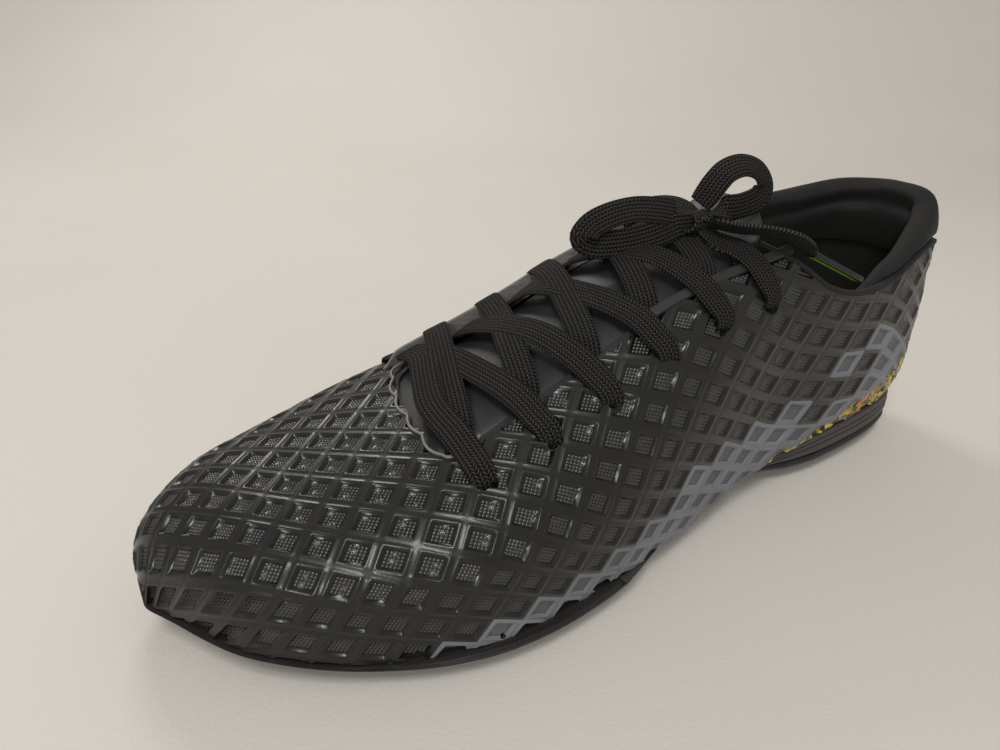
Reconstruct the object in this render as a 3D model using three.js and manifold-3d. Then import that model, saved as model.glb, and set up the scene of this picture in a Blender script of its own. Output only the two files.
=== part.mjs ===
// A left turf soccer cleat, standing empty on its sole.
// Millimetres, +Z up, toe towards -X, lateral side towards -Y.

import * as THREE from 'three';
import { mergeVertices } from 'three/addons/utils/BufferGeometryUtils.js';
import Module from 'manifold-3d';

const wasm = await Module();
wasm.setup();

// Sizes of the last
const length = 286;
const ballWidth = 98;
const instepHeight = 87;
const heelSeat = 19;
const heelHollow = 2;

// Sizes of the pieces
const wall = 2.2;
const gap = 0.3;
const soleLip = 4;
const insoleThickness = 3;
const insoleClearance = 1;
const tongueThickness = 3;
const tongueClearance = 0.8;
const rollClearance = 0.9;
const rollLedge = 1.5;
const rollThickness = 7;
const rollDepth = 24;
const laceWidth = 8;
const laceThickness = 1.6;
const cordRadius = 1.8;
const nubTop = 8.5;
const nubFoot = 6.5;
const nubSides = 6;
const nubBuried = 1;

const LATERAL = -1;
const MEDIAL = 1;

// The last, a row for each of 13 stations that crowd towards heel and toe.
// Widths are shares of the ball width, heights shares of the instep or of the heel seat.
// lateral, medial: half widths each side of the middle line
// tuck: how far the lower edge turns in; flare: how far the sole stands out past the widest line
// widest, ridge: heights of the widest line and of the top; seat, tread: top and underside of the sole
const LAST = [
  { lateral: 0.041, medial: 0.041, middle: -0.010, tuck: 0.030, flare: -0.015,
    widest: 0.380, ridge: 1.44, power: 2.5, seat: 1.00, tread: 0.32 },
  { lateral: 0.194, medial: 0.184, middle: -0.015, tuck: 0.030, flare: -0.017,
    widest: 0.370, ridge: 1.44, power: 2.5, seat: 1.00, tread: 0.23 },
  { lateral: 0.277, medial: 0.286, middle: 0.000, tuck: 0.030, flare: -0.016,
    widest: 0.365, ridge: 1.43, power: 2.5, seat: 1.00, tread: 0.21 },
  { lateral: 0.322, medial: 0.327, middle: 0.005, tuck: 0.030, flare: -0.017,
    widest: 0.380, ridge: 1.40, power: 2.5, seat: 1.00, tread: 0.21 },
  { lateral: 0.349, medial: 0.327, middle: 0.005, tuck: 0.040, flare: -0.028,
    widest: 0.402, ridge: 1.22, power: 2.9, seat: 0.97, tread: 0.22 },
  { lateral: 0.361, medial: 0.311, middle: 0.000, tuck: 0.070, flare: -0.050,
    widest: 0.420, ridge: 1.07, power: 3.4, seat: 0.87, tread: 0.28 },
  { lateral: 0.441, medial: 0.321, middle: 0.007, tuck: 0.060, flare: -0.038,
    widest: 0.408, ridge: 0.975, power: 2.5, seat: 0.69, tread: 0.32 },
  { lateral: 0.523, medial: 0.393, middle: 0.015, tuck: 0.030, flare: 0.004,
    widest: 0.370, ridge: 0.785, power: 2.0, seat: 0.51, tread: 0.26 },
  { lateral: 0.547, medial: 0.433, middle: 0.038, tuck: 0.020, flare: 0.012,
    widest: 0.350, ridge: 0.600, power: 2.15, seat: 0.47, tread: 0.26 },
  { lateral: 0.456, medial: 0.367, middle: 0.059, tuck: 0.020, flare: 0.020,
    widest: 0.315, ridge: 0.490, power: 2.25, seat: 0.55, tread: 0.34 },
  { lateral: 0.314, medial: 0.270, middle: 0.069, tuck: 0.020, flare: 0.024,
    widest: 0.300, ridge: 0.437, power: 2.2, seat: 0.68, tread: 0.47 },
  { lateral: 0.129, medial: 0.133, middle: 0.079, tuck: 0.020, flare: 0.024,
    widest: 0.270, ridge: 0.356, power: 2.1, seat: 0.81, tread: 0.60 },
  { lateral: 0.041, medial: 0.041, middle: 0.079, tuck: 0.010, flare: 0.021,
    widest: 0.203, ridge: 0.210, power: 2.0, seat: 0.87, tread: 0.64 },
];

// The collar from the heel forward, in shares of the length and of the instep height.
// skin: where the outer skin ends; roll: the top of the padded lining above it
const COLLAR = [
  { along: 0.00, lateralSkin: 0.890, lateralRoll: 1.090, medialSkin: 0.890, medialRoll: 1.090 },
  { along: 0.05, lateralSkin: 0.910, lateralRoll: 1.020, medialSkin: 0.930, medialRoll: 1.085 },
  { along: 0.10, lateralSkin: 0.885, lateralRoll: 0.945, medialSkin: 0.950, medialRoll: 1.060 },
  { along: 0.15, lateralSkin: 0.830, lateralRoll: 0.875, medialSkin: 0.945, medialRoll: 1.040 },
  { along: 0.20, lateralSkin: 0.810, lateralRoll: 0.805, medialSkin: 0.940, medialRoll: 1.030 },
  { along: 0.25, lateralSkin: 0.825, lateralRoll: 0.805, medialSkin: 0.945, medialRoll: 1.020 },
  { along: 0.30, lateralSkin: 0.880, lateralRoll: 0.840, medialSkin: 0.960, medialRoll: 1.010 },
  { along: 0.34, lateralSkin: 0.970, lateralRoll: 0.920, medialSkin: 0.990, medialRoll: 1.020 },
  { along: 0.38, lateralSkin: 1.045, lateralRoll: 1.050, medialSkin: 1.040, medialRoll: 1.045 },
  { along: 0.42, lateralSkin: 1.130, lateralRoll: 1.140, medialSkin: 1.130, medialRoll: 1.140 },
];
const rollLateralEnd = 0.30;
const rollMedialEnd = 0.32;

// The throat in plan: shares of the length, and of the ball width each side of the middle
const THROAT = [
  { along: 0.300, across: -0.250 },
  { along: 0.400, across: -0.242 },
  { along: 0.550, across: -0.236 },
  { along: 0.700, across: -0.236 },
  { along: 0.742, across: -0.240 },
  { along: 0.752, across: -0.215 },
  { along: 0.754, across: -0.100 },
  { along: 0.750, across: 0.030 },
  { along: 0.742, across: 0.115 },
  { along: 0.728, across: 0.190 },
  { along: 0.705, across: 0.215 },
  { along: 0.660, across: 0.210 },
  { along: 0.550, across: 0.205 },
  { along: 0.400, across: 0.215 },
  { along: 0.300, across: 0.230 },
];

// The tongue: shares of the length, half widths as shares of the ball width, and how far
// its free end rises off the last, in shares of the instep height
const TONGUE = [
  { along: 0.352, half: 0.100, rise: 0.085 },
  { along: 0.360, half: 0.165, rise: 0.065 },
  { along: 0.375, half: 0.205, rise: 0.035 },
  { along: 0.388, half: 0.220, rise: 0.010 },
  { along: 0.400, half: 0.235, rise: 0.000 },
  { along: 0.430, half: 0.255, rise: 0.000 },
  { along: 0.500, half: 0.270, rise: 0.000 },
  { along: 0.600, half: 0.270, rise: 0.000 },
  { along: 0.700, half: 0.260, rise: 0.000 },
  { along: 0.760, half: 0.220, rise: 0.000 },
  { along: 0.785, half: 0.150, rise: 0.000 },
];

// Rows of nubs under the sole: share of the length and how many across
const NUB_ROWS = [
  { along: 0.040, count: 2 },
  { along: 0.095, count: 4 },
  { along: 0.155, count: 4 },
  { along: 0.215, count: 4 },
  { along: 0.270, count: 3 },
  { along: 0.545, count: 4 },
  { along: 0.605, count: 5 },
  { along: 0.665, count: 6 },
  { along: 0.725, count: 6 },
  { along: 0.785, count: 5 },
  { along: 0.845, count: 5 },
  { along: 0.900, count: 4 },
  { along: 0.955, count: 2 },
];
const nubSideMargin = 7;
// Where the toe spring starts, and how much of it the nubs' feet follow
const springStart = 0.8;
const springFollow = 0.75;

// Lace holes up the throat, from the toe, as shares of the length
const HOLES = [0.735, 0.668, 0.602, 0.535, 0.462, 0.392];
const holeSetback = 15;

// Curves through tables
function catmull(a, b, c, d, f) {
  const slope = (c - a) / 2;
  const next = (d - b) / 2;
  const rise = c - b;
  return b + f * (slope + f * (3 * rise - 2 * slope - next + f * (slope + next - 2 * rise)));
}

function lastColumn(name, t) {
  const rows = LAST.length - 1;
  const x = THREE.MathUtils.clamp(t, 0, 1) * rows;
  const i = Math.min(Math.floor(x), rows - 1);
  const value = (k) => {
    if (k < 0) return 2 * LAST[0][name] - LAST[1][name];
    if (k > rows) return 2 * LAST[rows][name] - LAST[rows - 1][name];
    return LAST[k][name];
  };
  return catmull(value(i - 1), value(i), value(i + 1), value(i + 2), x - i);
}

function tableColumn(table, name, along) {
  const last = table.length - 1;
  if (along <= table[0].along) return table[0][name];
  if (along >= table[last].along) return table[last][name];
  const i = table.findIndex((row) => row.along > along) - 1;
  const f = (along - table[i].along) / (table[i + 1].along - table[i].along);
  const before = table[Math.max(i - 1, 0)][name];
  const after = table[Math.min(i + 2, last)][name];
  return catmull(before, table[i][name], table[i + 1][name], after, f);
}

// Station t runs 0 at the heel to 1 at the toe and crowds towards both ends
const shareOf = (t) => (1 - Math.cos(Math.PI * t)) / 2;
const tOf = (share) => Math.acos(1 - 2 * THREE.MathUtils.clamp(share, 0, 1)) / Math.PI;
const seatAt = (t) => heelSeat * lastColumn('seat', t);
const treadAt = (t) => heelSeat * lastColumn('tread', t);
const middleAt = (t) => ballWidth * lastColumn('middle', t);
const halfAt = (t, side) => ballWidth * lastColumn(side === LATERAL ? 'lateral' : 'medial', t);

// The back of the heel is hollow above its bulge, and the hollow fades forward
function heelInset(t, z) {
  const height = z / instepHeight;
  const hollow = heelHollow * Math.exp(-(((height - 0.83) / 0.25) ** 2));
  const fade = Math.max(1 - shareOf(t) / 0.2, 0);
  return hollow * fade * fade;
}

// A point of the last's surface: level -1 is the lower edge, 0 the widest line, 1 the ridge
function lastPoint(t, level, side) {
  const half = halfAt(t, side);
  const seat = seatAt(t);
  const ridge = instepHeight * lastColumn('ridge', t);
  const widest = instepHeight * lastColumn('widest', t);
  const bend = 2 / lastColumn('power', t);
  const tuck = ballWidth * lastColumn('tuck', t);
  let across;
  let z;
  if (level >= 0) {
    const angle = (level * Math.PI) / 2;
    across = half * Math.abs(Math.cos(angle)) ** bend;
    z = widest + (ridge - widest) * Math.sin(angle) ** bend;
  } else {
    const turn = Math.acos(THREE.MathUtils.clamp(1 - tuck / half, 0.3, 0.999));
    const angle = -level * turn;
    across = half * Math.cos(angle);
    z = widest - ((widest - seat) * Math.sin(angle)) / Math.sin(turn);
  }
  const along = length * shareOf(t) + heelInset(t, z);
  return new THREE.Vector3(-along, middleAt(t) + side * across, z);
}

function lastNormal(t, level, side) {
  const step = 1e-3;
  const alongStep = lastPoint(Math.min(t + step, 1), level, side)
    .sub(lastPoint(Math.max(t - step, 0), level, side));
  const upStep = lastPoint(t, Math.min(level + step, 1), side)
    .sub(lastPoint(t, Math.max(level - step, -1), side));
  return alongStep.cross(upStep).multiplyScalar(side).normalize();
}

// A point under the surface by depth, or above it where depth is negative
function skinPoint(t, level, side, depth) {
  return lastPoint(t, level, side).addScaledVector(lastNormal(t, level, side), -depth);
}

function levelOfHeight(t, z) {
  const ridge = instepHeight * lastColumn('ridge', t);
  const widest = instepHeight * lastColumn('widest', t);
  const rise = THREE.MathUtils.clamp((z - widest) / (ridge - widest), 0, 1);
  return (Math.asin(rise ** (lastColumn('power', t) / 2)) * 2) / Math.PI;
}

function levelOfAcross(t, across, side) {
  const share = THREE.MathUtils.clamp(across / halfAt(t, side), 0, 1);
  return (Math.acos(share ** (lastColumn('power', t) / 2)) * 2) / Math.PI;
}

// The point over or under the upper's top at station t, y from the middle line
function topPoint(t, across, depth) {
  const side = across < 0 ? LATERAL : MEDIAL;
  return skinPoint(t, levelOfAcross(t, Math.abs(across), side), side, depth);
}

// The sole's plan outline: the widest line moved out by out
function rimPoint(t, side, out) {
  const step = 1e-3;
  const at = (u) => new THREE.Vector2(-length * shareOf(u), middleAt(u) + side * halfAt(u, side));
  const ahead = at(Math.min(t + step, 1)).sub(at(Math.max(t - step, 0))).normalize();
  const outward = new THREE.Vector2(ahead.y, -ahead.x).multiplyScalar(side);
  return at(t).addScaledVector(outward, out);
}

const steps = (count, from = 0, to = 1) =>
  Array.from({ length: count + 1 }, (unused, i) => from + ((to - from) * i) / count);

// Solids
function orient(geometry) {
  const index = geometry.index.array;
  const p = geometry.attributes.position;
  const a = new THREE.Vector3();
  const b = new THREE.Vector3();
  const c = new THREE.Vector3();
  let volume = 0;
  for (let i = 0; i < index.length; i += 3) {
    a.fromBufferAttribute(p, index[i]);
    b.fromBufferAttribute(p, index[i + 1]);
    c.fromBufferAttribute(p, index[i + 2]);
    volume += a.dot(b.cross(c));
  }
  if (volume < 0) {
    for (let i = 0; i < index.length; i += 3) [index[i], index[i + 1]] = [index[i + 1], index[i]];
  }
  return geometry;
}

// A closed skin over rings of equal count; each end is closed by rungs from side to side
function loft(rings) {
  const count = rings[0].length;
  const index = [];
  for (let r = 0; r + 1 < rings.length; r += 1) {
    for (let k = 0; k < count; k += 1) {
      const here = r * count + k;
      const beside = r * count + ((k + 1) % count);
      index.push(here, beside, here + count, beside, beside + count, here + count);
    }
  }
  const close = (first, flip) => {
    const face = (a, b, c) => index.push(...(flip ? [c, b, a] : [a, b, c]).map((k) => first + k));
    for (let k = 0; k + 1 < count - 1 - k; k += 1) {
      const across = count - 1 - k;
      face(across, k + 1, k);
      if (k + 1 < across - 1) face(across, across - 1, k + 1);
    }
  };
  close(0, false);
  close((rings.length - 1) * count, true);
  const points = rings.flat().flatMap((corner) => corner.toArray());
  const geometry = new THREE.BufferGeometry();
  geometry.setAttribute('position', new THREE.Float32BufferAttribute(points, 3));
  geometry.setIndex(index);
  return orient(geometry);
}

function toManifold(geometry) {
  const bare = geometry.clone();
  bare.deleteAttribute('normal');
  bare.deleteAttribute('uv');
  const merged = mergeVertices(bare, 1e-4);
  return new wasm.Manifold(new wasm.Mesh({
    numProp: 3,
    vertProperties: new Float32Array(merged.attributes.position.array),
    triVerts: new Uint32Array(merged.index.array),
  }));
}

function fromManifold(solid) {
  const mesh = solid.getMesh();
  const geometry = new THREE.BufferGeometry();
  geometry.setAttribute('position', new THREE.BufferAttribute(new Float32Array(mesh.vertProperties), 3));
  geometry.setIndex(new THREE.BufferAttribute(new Uint32Array(mesh.triVerts), 1));
  return geometry;
}

const join = (geometries) => fromManifold(
  geometries.map(toManifold).reduce((sum, solid) => sum.add(solid)),
);

// The last as a solid, shrunk by depth; below is how far its walls run on under the lower edge
function lastSolid(depth, below) {
  const levels = [...steps(3, -1, 0), ...steps(11, 0, 1).slice(1)];
  const rings = steps(30).map((t) => {
    const half = (side) => {
      const points = levels.map((level) => skinPoint(t, level, side, depth));
      if (below > 0) points.unshift(new THREE.Vector3(points[0].x, points[0].y, seatAt(t) - below));
      return points;
    };
    return [...half(LATERAL), ...half(MEDIAL).slice(0, -1).reverse()];
  });
  return loft(rings);
}

// A wall of cut that takes away all above the collar's skin line on one side
function collarCut(side) {
  const reach = ballWidth;
  const top = instepHeight * 2;
  const behind = 0.05 * length;
  const name = side === LATERAL ? 'lateralSkin' : 'medialSkin';
  const alongs = steps(36, 0, COLLAR[COLLAR.length - 1].along);
  const line = alongs.map((along) => [
    -length * along,
    instepHeight * tableColumn(COLLAR, name, along),
  ]);
  const shape = new THREE.Shape();
  shape.moveTo(behind, top);
  shape.lineTo(behind, line[0][1]);
  line.forEach(([x, z]) => shape.lineTo(x, z));
  shape.lineTo(line[line.length - 1][0], top);
  const geometry = new THREE.ExtrudeGeometry(shape, { depth: reach, bevelEnabled: false });
  geometry.rotateX(Math.PI / 2);
  if (side === MEDIAL) geometry.translate(0, reach, 0);
  return geometry;
}

function throatCut() {
  const outline = THROAT.map(({ along, across }) => new THREE.Vector2(-length * along, ballWidth * across));
  const shape = new THREE.Shape(outline);
  const geometry = new THREE.ExtrudeGeometry(shape, { depth: 2 * instepHeight, bevelEnabled: false });
  geometry.translate(0, 0, 0.4 * instepHeight);
  return geometry;
}

// Upper: one hollow skin, open at the collar, the throat and underneath
function upper() {
  let skin = toManifold(lastSolid(0, 0)).subtract(toManifold(lastSolid(wall, heelSeat)));
  for (const cut of [collarCut(LATERAL), collarCut(MEDIAL), throatCut()]) {
    skin = skin.subtract(toManifold(cut));
  }
  return fromManifold(skin);
}

// Collar padding: a roll that lines the collar and stands above the skin
function collarPadding() {
  const stations = [
    ...steps(16, tOf(rollLateralEnd), 0).map((t) => ({ t, side: LATERAL })),
    ...steps(16, 0, tOf(rollMedialEnd)).map((t) => ({ t, side: MEDIAL })),
  ];
  const inside = wall + rollClearance;
  return loft(stations.map(({ t, side }) => {
    const along = shareOf(t);
    const name = side === LATERAL ? 'lateral' : 'medial';
    const skinTop = instepHeight * tableColumn(COLLAR, `${name}Skin`, along);
    const rollTop = instepHeight * tableColumn(COLLAR, `${name}Roll`, along);
    const end = side === LATERAL ? rollLateralEnd : rollMedialEnd;
    const thick = rollThickness * Math.sqrt(THREE.MathUtils.clamp(1.15 - along / end, 0.05, 1));
    const stand = Math.max(rollTop - skinTop - rollLedge, 1);
    const proud = THREE.MathUtils.clamp((rollTop - skinTop - rollLedge) / 4, 0, 1);
    const face = THREE.MathUtils.lerp(inside, gap, proud);
    const section = [
      [inside, rollTop - rollDepth],
      [inside, rollTop - stand],
      [face, rollTop - 0.85 * stand],
      [face + 0.3, rollTop - 0.4 * stand],
      [face + 0.3 * thick, rollTop],
      [inside + 0.5 * thick, rollTop + 0.05 * thick],
      [inside + thick, rollTop - 0.35 * thick],
      [inside + 0.75 * thick, rollTop - 0.3 * rollDepth],
      [inside + 0.9 * thick, rollTop - 0.5 * rollDepth],
      [inside + 0.3 * thick, rollTop - rollDepth],
    ];
    return section.map(([depth, z]) => skinPoint(t, levelOfHeight(t, z), side, depth));
  }));
}

// Sole pieces: rings across the sole whose side profile is a list of out and height shares
function soleRings(ts, profile, bottomAt, topAt) {
  return ts.map((t) => {
    const bottom = bottomAt(t);
    const top = topAt(t);
    const half = (side) => profile.map(([out, share]) => {
      const rim = rimPoint(t, side, ballWidth * lastColumn('flare', t) + out);
      return new THREE.Vector3(rim.x, rim.y, bottom + (top - bottom) * share);
    });
    return [...half(LATERAL), ...half(MEDIAL).reverse()];
  });
}

const midsoleEnd = 0.60;
const midsoleToe = 1.0;
const lipTopAt = (t) => {
  const full = seatAt(t) - gap;
  const lipped = treadAt(t) + soleLip;
  return shareOf(t) <= midsoleEnd ? Math.min(lipped, full - midsoleToe) : full;
};

function nub(along, across) {
  const t = tOf(along);
  const height = treadAt(t) + nubBuried;
  const spring = Math.max(treadAt(t) - treadAt(tOf(springStart)), 0);
  const floor = along > springStart ? springFollow * spring : 0;
  const geometry = new THREE.CylinderGeometry(nubTop / 2, nubFoot / 2, height - floor, nubSides);
  geometry.rotateX(Math.PI / 2);
  geometry.translate(-length * along, across, (height + floor) / 2);
  return geometry;
}

function nubs() {
  return NUB_ROWS.flatMap(({ along, count }) => {
    const t = tOf(along);
    const edge = (side) => rimPoint(t, side, ballWidth * lastColumn('flare', t) - nubSideMargin).y;
    return steps(count - 1, edge(LATERAL), edge(MEDIAL)).map((across) => nub(along, across));
  });
}

// Outsole: a thin lipped plate with turf nubs; it carries the upper at the forefoot
function outsole() {
  const profile = [[-2.5, 0], [-0.6, 0.22], [0.2, 0.5], [-0.4, 0.72], [-0.4, 1]];
  const ts = [
    ...steps(16, 0, tOf(midsoleEnd)),
    ...steps(16, tOf(midsoleEnd + 0.004), 1),
  ];
  return join([loft(soleRings(ts, profile, treadAt, lipTopAt)), ...nubs()]);
}

// Midsole: a wedge from the heel to the arch with two level grooves round its side
function midsole() {
  const profile = [
    [-1.0, 0], [-0.2, 0.08], [0.1, 0.22], [-1.1, 0.3], [-1.1, 0.36], [0, 0.44],
    [-0.2, 0.66], [-1.2, 0.72], [-1.2, 0.78], [-0.4, 0.86], [-0.8, 1],
  ];
  const ts = steps(16, 0, tOf(midsoleEnd));
  return loft(soleRings(ts, profile, (t) => lipTopAt(t) + gap, (t) => seatAt(t) - gap));
}

// Insole: a sheet inside the upper on the sole
function insole() {
  const ts = steps(24, 0, 0.95);
  return loft(ts.map((t) => {
    const edge = (side) => skinPoint(t, -1, side, wall + insoleClearance);
    const low = seatAt(t);
    const high = low + insoleThickness;
    const left = edge(LATERAL);
    const right = edge(MEDIAL);
    return [
      new THREE.Vector3(left.x, left.y, low),
      new THREE.Vector3(left.x, left.y, high),
      new THREE.Vector3(right.x, right.y, high),
      new THREE.Vector3(right.x, right.y, low),
    ];
  }));
}

// Tongue: a sheet just under the skin, from inside the vamp up to the collar
function tongue() {
  const alongs = steps(22, TONGUE[0].along, TONGUE[TONGUE.length - 1].along);
  const upside = wall + tongueClearance;
  return loft(alongs.map((along) => {
    const t = tOf(along);
    const half = ballWidth * tableColumn(TONGUE, 'half', along);
    const rise = new THREE.Vector3(0, 0, instepHeight * tableColumn(TONGUE, 'rise', along));
    const row = (depth) => steps(8, -half, half).map((across) => topPoint(t, across, depth).add(rise));
    return [...row(upside), ...row(upside + tongueThickness).reverse()];
  }));
}

// Bow: points chosen by hand, distance from the heel, across and height
const point = (along, across, height) => new THREE.Vector3(-along, across, height);
const knotCentre = point(121, -6.5, 95.6);
const knotSize = new THREE.Vector3(6, 5, 3);
const LOOP_FORWARD = [
  point(128, -4, 97), point(134, -3, 98.2), point(141, -0.5, 98.5), point(148, 2, 96.8), point(153, 4, 93.8),
  point(155.5, 4, 90.6), point(152.5, 3, 88.6), point(146, -1, 89.2), point(137, -5, 91.5), point(128.5, -6, 94),
];
const LOOP_BACK = [
  point(120.8, -6.3, 99.6), point(119.5, -7.6, 102.8), point(118, -8.4, 105.8), point(115, -9.2, 109.2),
  point(109.5, -10.4, 110.8), point(104, -11.8, 109), point(101.5, -12.8, 105), point(103.5, -13.2, 101.4),
  point(109, -12.8, 99.6), point(115.5, -12, 98.8),
];
const END_LATERAL = [
  point(120, -12.2, 95), point(115, -18, 94.4), point(110, -23, 94.5), point(104, -27, 93.3),
  point(98, -27.8, 90.5), point(93.5, -28, 87.2),
];
const END_MEDIAL = [
  point(120, -0.8, 96.1), point(121, 6, 96.5), point(122, 13, 94.5), point(123, 19.5, 90.8),
  point(123.5, 25, 84.5), point(124, 28.8, 77.5),
];
const AGLET_LATERAL = [point(92.9, -28.05, 86.75), point(66, -29.5, 75)];
const AGLET_MEDIAL = [point(124.2, 29.6, 75.5), point(126, 33.6, 54)];

// Laces over the throat: flat bands, each from beside one edge to the hole past the other
const overSkin = -(gap + laceThickness / 2);
const overTongue = wall + tongueClearance - laceThickness;
const laceLift = 0.4;
const underEdge = 3;

function edgeAcross(along, side) {
  const rows = THROAT.filter(({ across }) => Math.sign(across) === side && Math.abs(across) > 0.2);
  rows.sort((a, b) => a.along - b.along);
  return ballWidth * Math.abs(tableColumn(rows, 'across', along));
}

function onTop(along, across, depth) {
  const t = tOf(along);
  const side = across < 0 ? LATERAL : MEDIAL;
  const level = levelOfAcross(t, Math.abs(across), side);
  return { place: skinPoint(t, level, side, depth), up: lastNormal(t, level, side) };
}

// The place girth below the throat's edge, measured down the skin
function pastEdge(along, side, girth, depth) {
  const t = tOf(along);
  const stepDown = 0.004;
  let level = levelOfAcross(t, edgeAcross(along, side), side);
  let walked = 0;
  while (walked < girth) {
    const here = lastPoint(t, level, side);
    level -= stepDown;
    walked += here.distanceTo(lastPoint(t, level, side));
  }
  return { place: skinPoint(t, level, side, depth), up: lastNormal(t, level, side) };
}

// A flat band through places, lying on their up directions
function band(stops) {
  const centres = new THREE.CatmullRomCurve3(stops.map(({ place }) => place), false, 'centripetal');
  const ups = new THREE.CatmullRomCurve3(stops.map(({ up }) => up), false, 'centripetal');
  return loft(steps(8).map((u) => {
    const centre = centres.getPoint(u);
    const beside = new THREE.Vector3().crossVectors(centres.getTangent(u), ups.getPoint(u)).normalize();
    const lift = new THREE.Vector3().crossVectors(beside, centres.getTangent(u)).normalize();
    const corner = (a, b) => centre.clone()
      .addScaledVector(beside, (a * laceWidth) / 2)
      .addScaledVector(lift, (b * laceThickness) / 2);
    return [corner(-1, -1), corner(1, -1), corner(1, 1), corner(-1, 1)];
  }));
}

function crossing(fromAlong, toAlong, side) {
  const at = (share) => fromAlong + (toAlong - fromAlong) * share;
  const start = -side * (edgeAcross(fromAlong, -side) - underEdge);
  const edge = side * edgeAcross(toAlong, side);
  return band([
    onTop(at(-0.15), start, overSkin),
    onTop(at(0.25), start * 0.4, overSkin - laceLift),
    onTop(at(0.6), edge * 0.45, overSkin - laceLift),
    onTop(at(0.85), edge, overSkin),
    pastEdge(at(0.93), side, holeSetback / 2, overSkin),
    pastEdge(toAlong, side, holeSetback, overSkin),
  ]);
}

// The first bar runs straight across, over the first crossing
function frontBar() {
  const along = HOLES[0];
  const over = overSkin - laceThickness;
  const half = (side) => [
    onTop(along, side * edgeAcross(along, side) * 0.5, over),
    onTop(along, side * edgeAcross(along, side), over + laceLift),
    pastEdge(along, side, holeSetback, overSkin),
  ];
  return band([...half(LATERAL).reverse(), onTop(along, 0, over), ...half(MEDIAL)]);
}

// The last strands come up beside the top of the throat and end under the knot
function topStrand(side) {
  const along = HOLES[HOLES.length - 1];
  const start = side * (edgeAcross(along, side) - underEdge);
  const knotAlong = -knotCentre.x / length;
  return band([
    onTop(along + 0.01, start, overSkin),
    onTop(along + 0.5 * (knotAlong - along), 0.6 * start + 0.4 * knotCentre.y, overTongue),
    onTop(knotAlong, knotCentre.y, overTongue),
  ]);
}

function laceCrossings() {
  const bands = [frontBar(), topStrand(LATERAL), topStrand(MEDIAL)];
  for (let k = 0; k + 1 < HOLES.length; k += 1) {
    bands.push(crossing(HOLES[k], HOLES[k + 1], LATERAL));
    bands.push(crossing(HOLES[k], HOLES[k + 1], MEDIAL));
  }
  return join(bands);
}

function cordTube(points, radius, count) {
  const shape = new THREE.Shape(steps(7, 0, 7 / 8).map((turn) => new THREE.Vector2(
    radius * Math.cos(turn * 2 * Math.PI),
    radius * Math.sin(turn * 2 * Math.PI),
  )));
  const path = new THREE.CatmullRomCurve3(points, false, 'centripetal');
  return new THREE.ExtrudeGeometry(shape, { steps: count, extrudePath: path, bevelEnabled: false });
}

// The group
const group = new THREE.Group();
const parts = new THREE.Group();
group.add(parts);

function add(name, geometry, color, roughness) {
  const material = new THREE.MeshStandardMaterial({ color, roughness, metalness: 0 });
  const mesh = new THREE.Mesh(geometry, material);
  mesh.name = name;
  parts.add(mesh);
  return mesh;
}

const standing = [
  add('outsole', outsole(), 0x1a1a1c, 0.6),
  add('midsole', midsole(), 0x2c2b2c, 0.55),
  add('insole', insole(), 0x8fd01c, 0.9),
  add('upper', upper(), 0x151515, 0.4),
  add('collar_padding', collarPadding(), 0x121212, 0.85),
  add('tongue', tongue(), 0x1b1b1c, 0.6),
  add('lace_crossings', laceCrossings(), 0x141414, 0.9),
];
add('lace_knot', new THREE.SphereGeometry(1, 12, 8).scale(...knotSize).translate(...knotCentre), 0x141414, 0.9);
add('lace_loop_forward', cordTube(LOOP_FORWARD, cordRadius, 16), 0x141414, 0.9);
add('lace_loop_back', cordTube(LOOP_BACK, cordRadius, 16), 0x141414, 0.9);
add('lace_end_lateral', cordTube(END_LATERAL, cordRadius, 10), 0x141414, 0.9);
add('lace_end_medial', cordTube(END_MEDIAL, cordRadius, 10), 0x141414, 0.9);
add('aglet_lateral', cordTube(AGLET_LATERAL, 1.9, 2), 0x202020, 0.4);
add('aglet_medial', cordTube(AGLET_MEDIAL, 1.9, 2), 0x202020, 0.4);

// The origin is under the middle of the shoe without its bow
const box = new THREE.Box3();
standing.forEach((mesh) => box.union(new THREE.Box3().setFromObject(mesh)));
parts.position.set(-(box.min.x + box.max.x) / 2, -(box.min.y + box.max.y) / 2, -box.min.z);

export default group;
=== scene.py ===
"""Looks of a left turf soccer cleat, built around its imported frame.

Shapes are worked out in millimetres on the last, with the distance from the heel along -X, and are
moved into the row frame when a mesh is made.
"""

import math

import bpy
import numpy as np
from mathutils import Matrix, Vector


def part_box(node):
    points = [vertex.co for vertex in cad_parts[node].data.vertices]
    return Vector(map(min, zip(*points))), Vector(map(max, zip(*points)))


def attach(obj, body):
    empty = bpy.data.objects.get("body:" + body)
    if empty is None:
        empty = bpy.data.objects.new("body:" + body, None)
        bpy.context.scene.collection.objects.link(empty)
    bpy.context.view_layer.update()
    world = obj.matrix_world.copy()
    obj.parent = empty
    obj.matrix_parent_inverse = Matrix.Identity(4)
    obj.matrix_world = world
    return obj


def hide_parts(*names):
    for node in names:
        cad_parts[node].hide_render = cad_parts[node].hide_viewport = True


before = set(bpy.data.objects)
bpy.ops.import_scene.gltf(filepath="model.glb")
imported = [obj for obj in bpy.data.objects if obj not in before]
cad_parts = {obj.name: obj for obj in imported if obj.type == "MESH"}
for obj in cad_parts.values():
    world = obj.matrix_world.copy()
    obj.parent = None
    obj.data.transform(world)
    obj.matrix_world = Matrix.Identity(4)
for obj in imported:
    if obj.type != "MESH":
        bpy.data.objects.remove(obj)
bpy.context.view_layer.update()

MM = 0.001
LATERAL, MEDIAL = -1.0, 1.0
FAR = 50.0

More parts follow.
